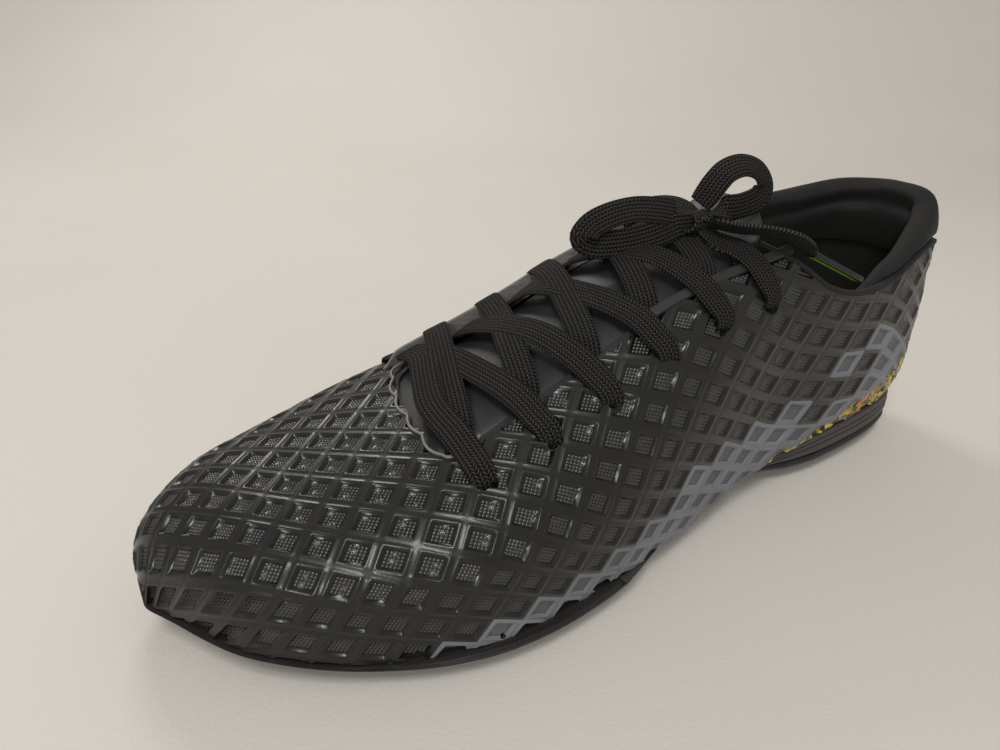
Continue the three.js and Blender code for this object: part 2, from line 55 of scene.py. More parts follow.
# Sizes of the last, as in the part
upper_low, upper_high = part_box("upper")
LENGTH = (upper_high.x - upper_low.x) / MM
BALL_WIDTH = 98.0
INSTEP = 87.0
HEEL_SEAT = 19.0
HEEL_HOLLOW = 2.0

# Sizes of the pieces
WALL = 2.2
GAP = 0.3
SKIN_DEPTH = 1.2
LACE_WIDTH = 8.0
LACE_THICKNESS = 1.5
HOLE_SETBACK = 15.0
MIDSOLE_END = 0.60

# The last's rows from heel to toe: widths over the ball width, heights over the instep or the seat
LAST = {
    "lateral": (0.041, 0.194, 0.277, 0.322, 0.349, 0.361, 0.441, 0.523, 0.547, 0.456, 0.314, 0.129, 0.041),
    "medial": (0.041, 0.184, 0.286, 0.327, 0.327, 0.311, 0.321, 0.393, 0.433, 0.367, 0.270, 0.133, 0.041),
    "middle": (-0.010, -0.015, 0, 0.005, 0.005, 0, 0.007, 0.015, 0.038, 0.059, 0.069, 0.079, 0.079),
    "tuck": (0.030, 0.030, 0.030, 0.030, 0.030, 0.035, 0.032, 0.025, 0.018, 0.010, 0.010, 0.010, 0.005),
    "flare": (-0.015, -0.017, -0.016, -0.017, -0.028, -0.05, -0.038, 0.004, 0.012, 0.02, 0.024, 0.024, 0.021),
    "widest": (0.380, 0.370, 0.365, 0.380, 0.402, 0.420, 0.408, 0.370, 0.350, 0.315, 0.300, 0.270, 0.203),
    "ridge": (1.44, 1.44, 1.43, 1.40, 1.22, 1.07, 0.975, 0.785, 0.600, 0.490, 0.437, 0.356, 0.210),
    "power": (2.5, 2.5, 2.5, 2.5, 2.9, 3.4, 2.5, 2.0, 2.15, 2.25, 2.2, 2.1, 2.0),
    "seat": (1.00, 1.00, 1.00, 1.00, 0.97, 0.87, 0.69, 0.51, 0.47, 0.55, 0.68, 0.81, 0.87),
    "edge": (0.885, 0.885, 0.875, 0.885, 0.83, 0.565, 0.38, 0.495, 0.437, 0.40, 0.51, 0.64, 0.71),
    "tread": (0.32, 0.23, 0.21, 0.21, 0.22, 0.28, 0.32, 0.26, 0.26, 0.34, 0.47, 0.60, 0.64),
}

# The collar: along the length, then the skin's edge and the roll's top on each side, over the instep
COLLAR = {
    "along": (0.00, 0.05, 0.10, 0.15, 0.20, 0.25, 0.30, 0.34, 0.38, 0.42),
    "lateral_skin": (0.890, 0.910, 0.885, 0.830, 0.810, 0.825, 0.880, 0.970, 1.045, 1.130),
    "lateral_roll": (1.090, 1.020, 0.945, 0.875, 0.805, 0.805, 0.840, 0.920, 1.050, 1.140),
    "medial_skin": (0.890, 0.930, 0.950, 0.945, 0.940, 0.945, 0.960, 0.990, 1.040, 1.130),
    "medial_roll": (1.090, 1.085, 1.060, 1.040, 1.030, 1.020, 1.010, 1.020, 1.045, 1.140),
}
SIDE_NAMES = {LATERAL: "lateral", MEDIAL: "medial"}
ROLL_END = {LATERAL: 0.30, MEDIAL: 0.32}
BINDING_END = {LATERAL: 0.375, MEDIAL: 0.375}
ROLL_THICKNESS, ROLL_DROP = 7.0, 24.0

# The throat in plan: along the length, across over the ball width
THROAT = [
    (0.300, -0.250), (0.400, -0.242), (0.550, -0.236), (0.700, -0.236), (0.742, -0.240),
    (0.752, -0.215), (0.754, -0.100), (0.750, 0.030), (0.742, 0.115), (0.728, 0.190),
    (0.705, 0.215), (0.660, 0.210), (0.550, 0.205), (0.400, 0.215), (0.300, 0.230),
]
HOLES = {
    LATERAL: (0.735, 0.668, 0.602, 0.535, 0.462, 0.392),
    MEDIAL: (0.708, 0.660, 0.600, 0.535, 0.462, 0.392),
}

# The tongue: along, half width and the rise of its free end
TONGUE = {
    "along": (0.352, 0.360, 0.375, 0.388, 0.400, 0.430, 0.500, 0.600, 0.700, 0.760, 0.785),
    "half": (0.100, 0.165, 0.205, 0.220, 0.235, 0.255, 0.270, 0.270, 0.260, 0.220, 0.150),
    "rise": (0.085, 0.065, 0.035, 0.010, 0, 0, 0, 0, 0, 0, 0),
}
TONGUE_SHEET = 3.0

# The bow's route, repeated from the part: metres from the heel, across and up
LOOP_BACK = [
    (0.1208, -0.0063, 0.0996), (0.1195, -0.0076, 0.1028), (0.118, -0.0084, 0.1058), (0.115, -0.0092, 0.1092),
    (0.1095, -0.0104, 0.1108), (0.104, -0.0118, 0.109), (0.1015, -0.0128, 0.105), (0.1035, -0.0132, 0.1014),
    (0.109, -0.0128, 0.0996), (0.1155, -0.012, 0.0988),
]
END_LATERAL = [
    (0.120, -0.0122, 0.095), (0.115, -0.018, 0.0944), (0.110, -0.023, 0.0945), (0.104, -0.027, 0.0933),
    (0.098, -0.0278, 0.0905), (0.0935, -0.028, 0.0872),
]
LOOP_FORWARD = [
    (0.128, -0.004, 0.097), (0.134, -0.003, 0.0982), (0.141, -0.0005, 0.0985), (0.148, 0.002, 0.0968),
    (0.153, 0.004, 0.0938), (0.1555, 0.004, 0.0906), (0.1525, 0.003, 0.0886), (0.146, -0.001, 0.0892),
    (0.137, -0.005, 0.0915), (0.1285, -0.006, 0.094),
]
END_MEDIAL = [
    (0.120, -0.0008, 0.0961), (0.121, 0.006, 0.0965), (0.122, 0.013, 0.0945), (0.123, 0.0195, 0.0908),
    (0.1235, 0.025, 0.0845), (0.124, 0.0288, 0.0775),
]
AGLET_LATERAL = [(0.0929, -0.02805, 0.08675), (0.066, -0.0295, 0.075)]
AGLET_MEDIAL = [(0.1242, 0.0296, 0.0755), (0.126, 0.0336, 0.054)]
KNOT = (121.0, -6.5, 95.6)


# Curves and tables
def catmull(a, b, c, d, f):
    slope, following, rise = (c - a) / 2, (d - b) / 2, c - b
    return b + f * (slope + f * (3 * rise - 2 * slope - following + f * (slope + following - 2 * rise)))


def column(name, t):
    values = np.array(LAST[name], float)
    rows = len(values) - 1
    x = np.clip(t, 0, 1) * rows
    i = np.minimum(np.floor(x).astype(int), rows - 1)
    wide = np.concatenate([[2 * values[0] - values[1]], values, [2 * values[-1] - values[-2]]])
    return catmull(wide[i], wide[i + 1], wide[i + 2], wide[i + 3], x - i)


def table(rows, name, along):
    place, values = np.array(rows["along"]), np.array(rows[name], float)
    along = np.clip(along, place[0], place[-1])
    i = np.clip(np.searchsorted(place, along, side="right") - 1, 0, len(place) - 2)
    f = (along - place[i]) / (place[i + 1] - place[i])
    last = len(place) - 1
    before, after = values[np.maximum(i - 1, 0)], values[np.minimum(i + 2, last)]
    return catmull(before, values[i], values[i + 1], after, f)


def share_of(t):
    return (1 - np.cos(np.pi * np.asarray(t, float))) / 2


def t_of(share):
    return np.arccos(1 - 2 * np.clip(share, 0, 1)) / np.pi


def smooth_step(x, low, high):
    f = np.clip((x - low) / (high - low), 0, 1)
    return f * f * (3 - 2 * f)


def unit(vectors):
    return vectors / np.linalg.norm(vectors, axis=-1, keepdims=True)


def directions(points):
    return unit(np.gradient(points, axis=0))


# The last
def t_at(along):
    return float(t_of(along))


def seat_at(t):
    return HEEL_SEAT * float(column("seat", t))


def tread_at(t):
    return HEEL_SEAT * float(column("tread", t))


def edge_at(t):
    return HEEL_SEAT * float(column("edge", t))


def flare_at(t):
    return BALL_WIDTH * float(column("flare", t))


def half_at(t, side):
    return BALL_WIDTH * np.where(side < 0, column("lateral", t), column("medial", t))


def last_point(t, level, side):
    """A point of the last: level -1 is the lower edge, 0 the widest line, 1 the ridge."""
    t, level, side = np.broadcast_arrays(*(np.asarray(a, float) for a in (t, level, side)))
    half = half_at(t, side)
    seat, ridge, widest = (size * column(name, t) for name, size in
                           (("edge", HEEL_SEAT), ("ridge", INSTEP), ("widest", INSTEP)))
    bend = 2 / column("power", t)
    turn = np.arccos(np.clip(1 - BALL_WIDTH * column("tuck", t) / half, 0.3, 0.999))
    above = level >= 0
    angle = np.where(above, level * np.pi / 2, -level * turn)
    c, s = np.abs(np.cos(angle)), np.abs(np.sin(angle))
    across = half * np.where(above, c ** bend, c)
    z = np.where(above, widest + (ridge - widest) * s ** bend, widest - (widest - seat) * s / np.sin(turn))
    hollow = HEEL_HOLLOW * np.exp(-(((z / INSTEP - 0.83) / 0.25) ** 2))
    hollow = hollow * np.maximum(1 - share_of(t) / 0.2, 0) ** 2
    y = BALL_WIDTH * column("middle", t) + side * across
    return np.stack([-(LENGTH * share_of(t) + hollow), y, z], -1)


def last_normal(t, level, side):
    step = 1e-3
    along, up = (last_point(*high, side) - last_point(*low, side) for high, low in (
        ((np.minimum(t + step, 1), level), (np.maximum(t - step, 0), level)),
        ((t, np.minimum(level + step, 1)), (t, np.maximum(level - step, -1)))))
    return unit(np.cross(along, up) * np.asarray(side, float)[..., None])


def skin_point(t, level, side, depth):
    depth = np.asarray(depth, float)
    return last_point(t, level, side) - last_normal(t, level, side) * depth[..., None]


def level_of_height(t, z):
    ridge, widest = INSTEP * column("ridge", t), INSTEP * column("widest", t)
    rise = np.clip((z - widest) / (ridge - widest), 0, 1)
    return np.arcsin(rise ** (column("power", t) / 2)) * 2 / np.pi


def level_of_across(t, across, side):
    share = np.clip(across / half_at(t, side), 0, 1)
    return np.arccos(share ** (column("power", t) / 2)) * 2 / np.pi


def rim_point(t, side, out):
    """The sole's plan outline: the widest line moved out by out."""
    def at(u):
        y = BALL_WIDTH * column("middle", u) + side * half_at(u, side)
        return np.stack([-LENGTH * share_of(u), y], -1)
    step = 1e-3
    ahead = unit(at(np.minimum(t + step, 1)) - at(np.maximum(t - step, 0)))
    away = np.stack([ahead[..., 1], -ahead[..., 0]], -1) * side
    return at(t) + away * np.asarray(out, float)[..., None]


# The skin as a sheet: S is measured from the toe, G round the last from its ridge, lateral negative
T_ROWS = np.linspace(0, 1, 481)
ROUND = np.linspace(0, 1, 241)


def sheet_tables():
    levels = np.linspace(-1, 1, 601)
    points, normals, full = {}, {}, {}
    for side in (LATERAL, MEDIAL):
        t, level = np.meshgrid(T_ROWS, levels, indexing="ij")
        p = last_point(t, level, side)
        up = np.linalg.norm(np.diff(p[..., 1:], axis=1), axis=-1)
        climbed = np.concatenate([np.zeros((len(T_ROWS), 1)), np.cumsum(up, axis=1)], 1)
        full[side] = climbed[:, -1]
        wanted = np.stack([np.interp((1 - ROUND) * row[-1], row, levels) for row in climbed])
        t = np.broadcast_to(T_ROWS[:, None], wanted.shape)
        points[side] = last_point(t, wanted, side)
        normals[side] = last_normal(t, wanted, np.full(wanted.shape, side))
    return points, normals, full


sheet_points, sheet_normals, sheet_full = sheet_tables()


def toe_distances():
    """S for each row of T_ROWS: over the ridge in front, round the plan outline behind."""
    along = LENGTH * share_of(T_ROWS)
    front = np.clip((along[:-1] - 90) / 40, 0, 1)
    over = np.hypot(np.diff(along), np.diff(INSTEP * column("ridge", T_ROWS)))
    beside = np.hypot(np.diff(along), np.diff(BALL_WIDTH * column("lateral", T_ROWS)))
    steps = front * over + (1 - front) * beside
    return np.concatenate([np.cumsum(steps[::-1])[::-1], [0]])


S_ROWS = toe_distances()
S_END = S_ROWS[0]


def full_girth(at, rows, side):
    """The girth from the ridge to the lower edge, at places measured as rows measures T_ROWS."""
    return np.where(side < 0, *(np.interp(at, rows, sheet_full[k]) for k in (LATERAL, MEDIAL)))


def sheet_at(s, g):
    """Points, outward normals and heights over the lower edge for places on the sheet."""
    row = np.interp(-s, -S_ROWS, np.arange(len(T_ROWS)))
    i = np.clip(np.floor(row).astype(int), 0, len(T_ROWS) - 2)
    fi = (row - i)[..., None]
    side = np.where(g < 0, LATERAL, MEDIAL)
    full = full_girth(row, np.arange(len(T_ROWS)), side)
    turn = np.clip(np.abs(g) / full, 0, 1) * (len(ROUND) - 1)
    j = np.clip(np.floor(turn).astype(int), 0, len(ROUND) - 2)
    fj = (turn - j)[..., None]

    def lookup(tables):
        grid = np.stack([tables[LATERAL], tables[MEDIAL]])
        k = (side > 0).astype(int)
        near = grid[k, i, j] * (1 - fj) + grid[k, i, j + 1] * fj
        beyond = grid[k, i + 1, j] * (1 - fj) + grid[k, i + 1, j + 1] * fj
        return near * (1 - fi) + beyond * fi

    return lookup(sheet_points), unit(lookup(sheet_normals)), full - np.abs(g)


# Edges of the skin: how far inside each edge a place lies, in millimetres
def collar_room(points, side):
    along = -points[..., 0] / LENGTH
    line = np.where(side < 0, table(COLLAR, "lateral_skin", along), table(COLLAR, "medial_skin", along))
    return np.where(along < COLLAR["along"][-1], INSTEP * line - points[..., 2], FAR)


def throat_outline():
    corners = np.array(THROAT) * (-LENGTH, BALL_WIDTH)
    closed = np.concatenate([corners[-1:], corners, corners[:2]])
    f = np.linspace(0, 1, 8, endpoint=False)[:, None]
    curve = [catmull(*closed[k:k + 4], f) for k in range(1, len(corners) - 2)]
    return np.concatenate([corners[:1], *curve, corners[-1:]])


def throat_room(points):
    """The distance in plan from the throat's edge, negative over the throat."""
    outline = throat_outline()
    room = np.full(points.shape[:-1], FAR)
    along = -points[..., 0] / LENGTH
    near = (along > 0.27) & (along < 0.80) & (points[..., 2] > 0.4 * INSTEP)
    place = points[near][:, None, :2]
    a, b = outline, np.roll(outline, -1, axis=0)
    edge = b - a
    f = np.clip(((place - a) * edge).sum(-1) / (edge ** 2).sum(-1), 0, 1)
    distance = np.linalg.norm(place - a - f[..., None] * edge, axis=-1).min(1)
    x, y = place[..., 0], place[..., 1]
    crosses = (a[:, 1] > y) != (b[:, 1] > y)
    with np.errstate(divide="ignore", invalid="ignore"):
        at = a[:, 0] + (y - a[:, 1]) / (b[:, 1] - a[:, 1]) * edge[:, 0]
    inside = (crosses & (x < at)).sum(1) % 2 == 1
    room[near] = np.where(inside, -distance, distance)
    return room


def edge_across(along, side):
    rows = sorted((a, abs(c)) for a, c in THROAT if c * side > 0 and abs(c) > 0.2)
    return BALL_WIDTH * np.interp(along, *zip(*rows))


def girth_at(t, side, across):
    """How far round the sheet from the ridge the plan distance across from the middle is reached."""
    row = np.interp(t, T_ROWS, np.arange(len(T_ROWS)))
    i = int(round(float(row)))
    reached = side * (sheet_points[side][i, :, 1] - BALL_WIDTH * column("middle", T_ROWS[i]))
    top = int(np.argmax(reached))
    return float(np.interp(across, reached[:top + 1], ROUND[:top + 1])) * sheet_full[side][i]


def hole_centre(along, side):
    t = t_at(along)
    s = float(np.interp(t, T_ROWS, S_ROWS))
    return s, side * (girth_at(t, side, edge_across(along, side)) + HOLE_SETBACK)


def hole_room(s, g, radius):
    room = np.full(np.shape(s), FAR)
    for side in (LATERAL, MEDIAL):
        for along in HOLES[side]:
            s0, g0 = hole_centre(along, side)
            room = np.minimum(room, np.hypot(s - s0, g - g0) - radius)
    return room


# Meshes
medial_reach = last_point(T_ROWS, 0.0, MEDIAL)[:, 1].max()
SHIFT = np.array([upper_high.x / MM, upper_high.y / MM - medial_reach, 0.0])


def place(points):
    """Millimetres on the last to metres in the row frame."""
    return (np.asarray(points, float) + SHIFT) * MM


def route(points):
    """The bow's metres, to millimetres on the last."""
    return np.array(points) / MM * (-1, 1, 1)


def make_piece(name, points, faces, materials, nodes=(), sheet=None, tones=None, sharp=60.0):
    """A smooth mesh piece on the root body. faces is a list of polygons, or (polygon, material number)."""
    mesh = bpy.data.meshes.new(name)
    numbered = [face if isinstance(face, tuple) else (face, 0) for face in faces]
    used = np.unique(np.concatenate([np.asarray(f) for f, _ in numbered]))
    renumber = np.full(len(points), -1)
    renumber[used] = np.arange(len(used))
    polygons = [renumber[np.asarray(face)].tolist() for face, _ in numbered]
    mesh.from_pydata(place(points[used]).tolist(), [], polygons)
    for material in materials:
        mesh.materials.append(material)
    mesh.polygons.foreach_set("material_index", [number for _, number in numbered])
    if sheet is not None:
        layer = mesh.uv_layers.new(name="sheet")
        corner = np.zeros(len(mesh.loops), int)
        mesh.loops.foreach_get("vertex_index", corner)
        layer.data.foreach_set("uv", sheet[used][corner].astype(np.float32).ravel())
    for label, values in (tones or {}).items():
        on_faces = len(values) == len(numbered)
        attribute = mesh.attributes.new(label, "FLOAT", "FACE" if on_faces else "POINT")
        attribute.data.foreach_set("value", np.asarray(values if on_faces else values[used], np.float32))
    mesh.shade_smooth()
    mesh.set_sharp_from_angle(angle=math.radians(sharp))
    mesh.update()
    piece = bpy.data.objects.new(name, mesh)
    bpy.context.scene.collection.objects.link(piece)
    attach(piece, "root")
    if nodes:
        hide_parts(*nodes)
    return piece


def grid_faces(rows, columns, closed=False):
    r = np.arange(rows - 1)[:, None] * columns
    c = np.arange(columns if closed else columns - 1)[None]
    following = (c + 1) % columns
    quads = np.stack([r + c, r + following, r + columns + following, r + columns + c], -1)
    return quads.reshape(-1, 4)


def loft_faces(rings, count, flip=False):
    """A closed skin over rings of equal count, its ends closed by rungs from side to side."""
    faces = [list(q) for q in grid_faces(rings, count, closed=True)]
    for first, turned in ((0, False), ((rings - 1) * count, True)):
        for k in range((count - 1) // 2 + 1):
            across = count - 1 - k
            if k + 1 > across - 1:
                if k + 1 < across:
                    rung = [across, k + 1, k]
                    faces.append([first + v for v in (rung[::-1] if turned else rung)])
                break
            rung = [across, across - 1, k + 1, k]
            faces.append([first + v for v in (rung[::-1] if turned else rung)])
    return [face[::-1] for face in faces] if flip else faces


def outward(points, faces):
    """The faces, turned where the closed mesh would be inside out."""
    volume = 0.0
    for face in faces:
        a = points[face[0]]
        for b, c in zip(face[1:-1], face[2:]):
            volume += float(np.dot(a, np.cross(points[b], points[c])))
    return faces if volume > 0 else [list(face)[::-1] for face in faces]


def loft_piece(name, rings, materials, nodes=(), sheet=None, sharp=50.0):
    rings = np.asarray(rings, float)
    points = rings.reshape(-1, 3)
    faces = outward(points, loft_faces(rings.shape[0], rings.shape[1]))
    flat = None if sheet is None else np.asarray(sheet, float).reshape(-1, 2)
    return make_piece(name, points, faces, materials, nodes, flat, sharp=sharp)


def clip_faces(quads, keep):
    """Cuts quads where keep turns negative. A new point is a place along an edge: two ends, share."""
    inside = keep[quads] > 0
    count = inside.sum(1)
    faces = [list(q) for q in quads[count == 4]]
    cuts, made = [], {}
    for quad in quads[(count > 0) & (count < 4)]:
        face = []
        for a, b in zip(quad, np.roll(quad, -1)):
            if keep[a] > 0:
                face.append(a)
            if (keep[a] > 0) != (keep[b] > 0):
                key = (min(a, b), max(a, b))
                if key not in made:
                    made[key] = len(keep) + len(cuts)
                    cuts.append((*key, np.clip(keep[key[0]] / (keep[key[0]] - keep[key[1]]), 0.06, 0.94)))
                face.append(made[key])
        faces.append(face)
    return faces, np.array(cuts).reshape(-1, 3)


def with_cuts(values, cuts):
    a, b = cuts[:, 0].astype(int), cuts[:, 1].astype(int)
    share = cuts[:, 2].reshape(-1, *[1] * (values.ndim - 1))
    return np.concatenate([values, values[a] * (1 - share) + values[b] * share])


# Walls of the skin and its backing this near the throat are cut edges
THROAT_NEAR = 6.0


def shell_faces(outer, faces, throat):
    """The outer faces, a wall along every open edge and the same faces for the inside.

    Each has its material number: 0 outside, 1 inside, 2 for the walls near the throat.
    """
    count = len(outer)
    faces = [list(face) for face in outward(outer, faces)]
    edges = dict.fromkeys(edge for face in faces for edge in zip(face, face[1:] + face[:1]))
    walls = [[b, a, a + count, b + count] for a, b in edges if (b, a) not in edges]
    return ([(face, 0) for face in faces]
            + [(face, 2 if throat[face[0]] < THROAT_NEAR else 1) for face in walls]
            + [([v + count for v in face[::-1]], 1) for face in faces])


# Shader helpers
class Shader:
    """One material's nodes, with short calls to add them."""

    def __init__(self, name):
        self.material = bpy.data.materials.new(name)
        self.material.use_nodes = True
        self.tree = self.material.node_tree
        self.surface = self.tree.nodes["Principled BSDF"]

    def put(self, socket, value):
        if isinstance(value, bpy.types.NodeSocket):
            self.tree.links.new(value, socket)
        elif isinstance(value, tuple) and len(value) == 3 and socket.type == "RGBA":
            socket.default_value = (*value, 1.0)
        else:
            socket.default_value = value

    def node(self, kind, inputs=None, **settings):
        made = self.tree.nodes.new(kind)
        for key, value in settings.items():
            setattr(made, key, value)
        for key, value in (inputs or {}).items():
            self.put(made.inputs[key], value)
        return made

    def math(self, operation, a, b=0.0, c=0.0):
        return self.node("ShaderNodeMath", {0: a, 1: b, 2: c}, operation=operation).outputs[0]

    def sum(self, *terms):
        total = terms[0]
        for term in terms[1:]:
            total = self.math("ADD", total, term)
        return total

    def times(self, a, b):
        return self.math("MULTIPLY", a, b)

    def step(self, x, low, high):
        inputs = {0: x, 1: low, 2: high, 3: 0.0, 4: 1.0}
        return self.node("ShaderNodeMapRange", inputs, interpolation_type="SMOOTHSTEP").outputs[0]

    def mix(self, share, a, b):
        made = self.node("ShaderNodeMix", data_type="RGBA")
        self.put(made.inputs[0], share)
        self.put(made.inputs[6], a)
        self.put(made.inputs[7], b)
        return made.outputs[2]

    def between(self, share, a, b):
        made = self.node("ShaderNodeMix", data_type="FLOAT")
        self.put(made.inputs[0], share)
        self.put(made.inputs[2], a)
        self.put(made.inputs[3], b)
        return made.outputs[0]

    def here(self):
        return self.node("ShaderNodeTexCoord").outputs["Object"]

    def noise(self, scale, detail=2.0, vector=None):
        inputs = {"Scale": scale, "Detail": detail, "Vector": vector or self.here()}
        return self.node("ShaderNodeTexNoise", inputs).outputs[0]

    def sheet(self):
        sheet = self.node("ShaderNodeUVMap", uv_map="sheet").outputs[0]
        split = self.node("ShaderNodeSeparateXYZ", {0: sheet})
        return split.outputs[0], split.outputs[1]

    def tone(self, label):
        return self.node("ShaderNodeAttribute", attribute_name=label).outputs["Fac"]

    def finish(self, color, roughness, height=None, strength=1.0, **constants):
        """Height is in millimetres. Constants are set on the shader's own sockets."""
        self.put(self.surface.inputs["Base Color"], color)
        self.put(self.surface.inputs["Roughness"], roughness)
        for key, value in constants.items():
            self.put(self.surface.inputs[key.replace("_", " ")], value)
        if height is not None:
            bump = self.node("ShaderNodeBump", {"Height": height, "Distance": MM, "Strength": strength})
            self.put(self.surface.inputs["Normal"], bump.outputs["Normal"])
        return self.material


# The camera, floor and light
CAMERA_AT = np.array([-287.7, -156.9, 149.9])
CAMERA_TURN, CAMERA_RISE, CAMERA_ROLL = math.radians(-33.27), math.radians(26.93), math.radians(2.67)
CAMERA_BACK = np.array([math.sin(CAMERA_TURN) * math.cos(CAMERA_RISE),
                        -math.cos(CAMERA_TURN) * math.cos(CAMERA_RISE), math.sin(CAMERA_RISE)])
FOCAL_PIXELS, PICTURE_WIDTH = 729.0, 1000.0


def make_camera():
    back = Vector(CAMERA_BACK)
    right = (-back).cross(Vector((0, 0, 1))).normalized()
    up = right.cross(-back)
    turned_right = right * math.cos(CAMERA_ROLL) + up * math.sin(CAMERA_ROLL)
    turned_up = up * math.cos(CAMERA_ROLL) - right * math.sin(CAMERA_ROLL)
    data = bpy.data.cameras.new("camera")
    data.sensor_width = 36.0
    data.lens = FOCAL_PIXELS / PICTURE_WIDTH * data.sensor_width
    data.clip_start = 0.01
    camera = bpy.data.objects.new("camera", data)
    turn = Matrix((turned_right, turned_up, back)).transposed().to_4x4()
    camera.matrix_world = Matrix.Translation(Vector(place(CAMERA_AT))) @ turn
    bpy.context.scene.collection.objects.link(camera)
    bpy.context.scene.camera = camera


def make_floor():
    """A sheet of pale paper: flat under the shoe, turned up far behind it."""
    shade = Shader("floor_paper")
    cloud = shade.noise(5.0, 3.0)
    color = shade.mix(cloud, (0.57, 0.54, 0.495), (0.62, 0.59, 0.545))
    material = shade.finish(color, 0.9, shade.noise(900.0, 4.0), 0.12)
    away = Vector((-math.sin(CAMERA_TURN), math.cos(CAMERA_TURN), 0))
    beside = Vector((away.y, -away.x, 0))
    near, bend_start, bend, wall, half = -2.5, 0.55, 0.5, 2.5, 4.0
    profile = [(near, 0.0)]
    for k in range(25):
        angle = math.radians(90 * k / 24)
        profile.append((bend_start + bend * math.sin(angle), bend * (1 - math.cos(angle))))
    profile.append((bend_start + bend, wall))
    corners, faces = [], []
    for run, height in profile:
        for side in (-half, half):
            corners.append(away * run + beside * side + Vector((0, 0, height)))
    for k in range(len(profile) - 1):
        faces.append((2 * k, 2 * k + 1, 2 * k + 3, 2 * k + 2))
    mesh = bpy.data.meshes.new("floor")
    mesh.from_pydata([tuple(c) for c in corners], [], faces)
    mesh.materials.append(material)
    mesh.shade_smooth()
    floor = bpy.data.objects.new("floor", mesh)
    bpy.context.scene.collection.objects.link(floor)


def area_light(name, at, size, power, color):
    data = bpy.data.lights.new(name, "AREA")
    data.shape = "RECTANGLE"
    data.size, data.size_y = size
    data.energy = power
    data.color = color
    light = bpy.data.objects.new(name, data)
    light.location = at
    light.rotation_mode = "QUATERNION"
    light.rotation_quaternion = (-Vector(at)).to_track_quat("-Z", "Y")
    bpy.context.scene.collection.objects.link(light)


def make_light():
    bpy.context.scene.view_settings.view_transform = "Standard"
    daylight = (1.0, 0.99, 0.97)
    world = bpy.data.worlds.new("soft_room")
    world.use_nodes = True
    world.node_tree.nodes["Background"].inputs[0].default_value = (1.0, 0.985, 0.96, 1.0)
    world.node_tree.nodes["Background"].inputs[1].default_value = 0.50
    bpy.context.scene.world = world
    area_light("soft_window", (0.05, 0.80, 0.75), (0.30, 0.20), 2.8, daylight)
    area_light("overhead", (-0.60, -0.60, 1.50), (0.5, 0.5), 12.0, daylight)
    area_light("front", (-0.95, -0.80, 0.60), (0.20, 0.22), 4.5, daylight)


# Materials
POCKET_LIP, POCKET_HALF, POCKET_EDGE, POCKET_FLOOR = 0.415, 0.375, 0.345, 0.286
POCKET_DEPTH = 0.95
BEAD_PITCH, BEAD_HALF = 0.108, 0.049
BEAD_RISE, BEAD_BURIED = 0.42, 0.1
BRAID_COLUMN, BRAID_STITCH = 1.15, 1.0


def in_cell(shade, x):
    """The distance from the middle of the cell, in cells."""
    moved = shade.math("ADD", x, 0.5)
    return shade.math("SUBTRACT", shade.math("FRACT", moved), 0.5)


def skin_material():
    shade = Shader("skin")
    u, v = shade.sheet()
    u, v = in_cell(shade, u), in_cell(shade, v)
    reach = shade.math("MAXIMUM", shade.math("ABSOLUTE", u), shade.math("ABSOLUTE", v))
    floor = shade.math("SUBTRACT", 1.0, shade.step(reach, 0.285, 0.30))
    # This tone marks the beads on the pocket floors and also paints a glint on them
    bead_painted_glint = shade.tone("bead_painted_glint")
    grain = shade.noise(2600.0, 3.0)
    blotch = shade.noise(160.0, 3.0)
    printed = shade.tone("print")
    speckled = shade.tone("speckle")
    rib = shade.mix(blotch, (0.005, 0.0047, 0.0043), (0.011, 0.0102, 0.0095))
    # The beads' pale colour, in the black skin and in the grey print, is a painted glint
    black = shade.mix(floor, rib, shade.mix(bead_painted_glint, (0.002, 0.002, 0.002), (0.130, 0.125, 0.118)))
    grey = shade.mix(blotch, (0.14, 0.145, 0.165), (0.19, 0.195, 0.215))
    grey = shade.mix(floor, grey, (0.08, 0.083, 0.095))
    grey = shade.mix(bead_painted_glint, grey, (0.22, 0.225, 0.245))
    color = shade.mix(printed, black, grey)
    cells = shade.node("ShaderNodeTexVoronoi", {"Scale": 620.0, "Vector": shade.here()})
    pick = shade.node("ShaderNodeSeparateColor", {0: cells.outputs["Color"]})
    ramp = shade.node("ShaderNodeValToRGB", {0: pick.outputs[0]})
    ramp.color_ramp.interpolation = "CONSTANT"
    stops = ramp.color_ramp.elements
    stops[0].position, stops[0].color = 0.0, (0.02, 0.02, 0.02, 1)
    stops[1].position, stops[1].color = 0.30, (0.50, 0.36, 0.03, 1)
    for position, tint in (
            (0.52, (0.17, 0.17, 0.18)), (0.64, (0.55, 0.19, 0.02)), (0.76, (0.16, 0.20, 0.03)),
            (0.86, (0.60, 0.50, 0.10)), (0.95, (0.05, 0.08, 0.04))):
        stops.new(position).color = (*tint, 1)
    color = shade.mix(speckled, color, ramp.outputs[0])
    rough = shade.between(floor, shade.between(blotch, 0.26, 0.34), 0.20)
    rough = shade.between(printed, rough, 0.48)
    rough = shade.between(bead_painted_glint, rough, 0.16)
    height = shade.sum(shade.times(grain, 0.03), shade.times(blotch, 0.05))
    return shade.finish(color, rough, height, Specular_IOR_Level=0.34, Coat_Weight=0.12, Coat_Roughness=0.10)


def plain_material(name, dark, light, roughness, grain_scale, grain_depth, gloss=0.3, **constants):
    """A satin moulding or film: two close tones in blotches, fine grain in the surface."""
    shade = Shader(name)
    blotch = shade.noise(120.0, 3.0)
    grain = shade.noise(grain_scale, 3.0)
    color = shade.mix(blotch, dark, light)
    rough = shade.between(blotch, roughness * 0.88, roughness * 1.12)
    return shade.finish(color, rough, shade.times(grain, grain_depth), Specular_IOR_Level=gloss, **constants)


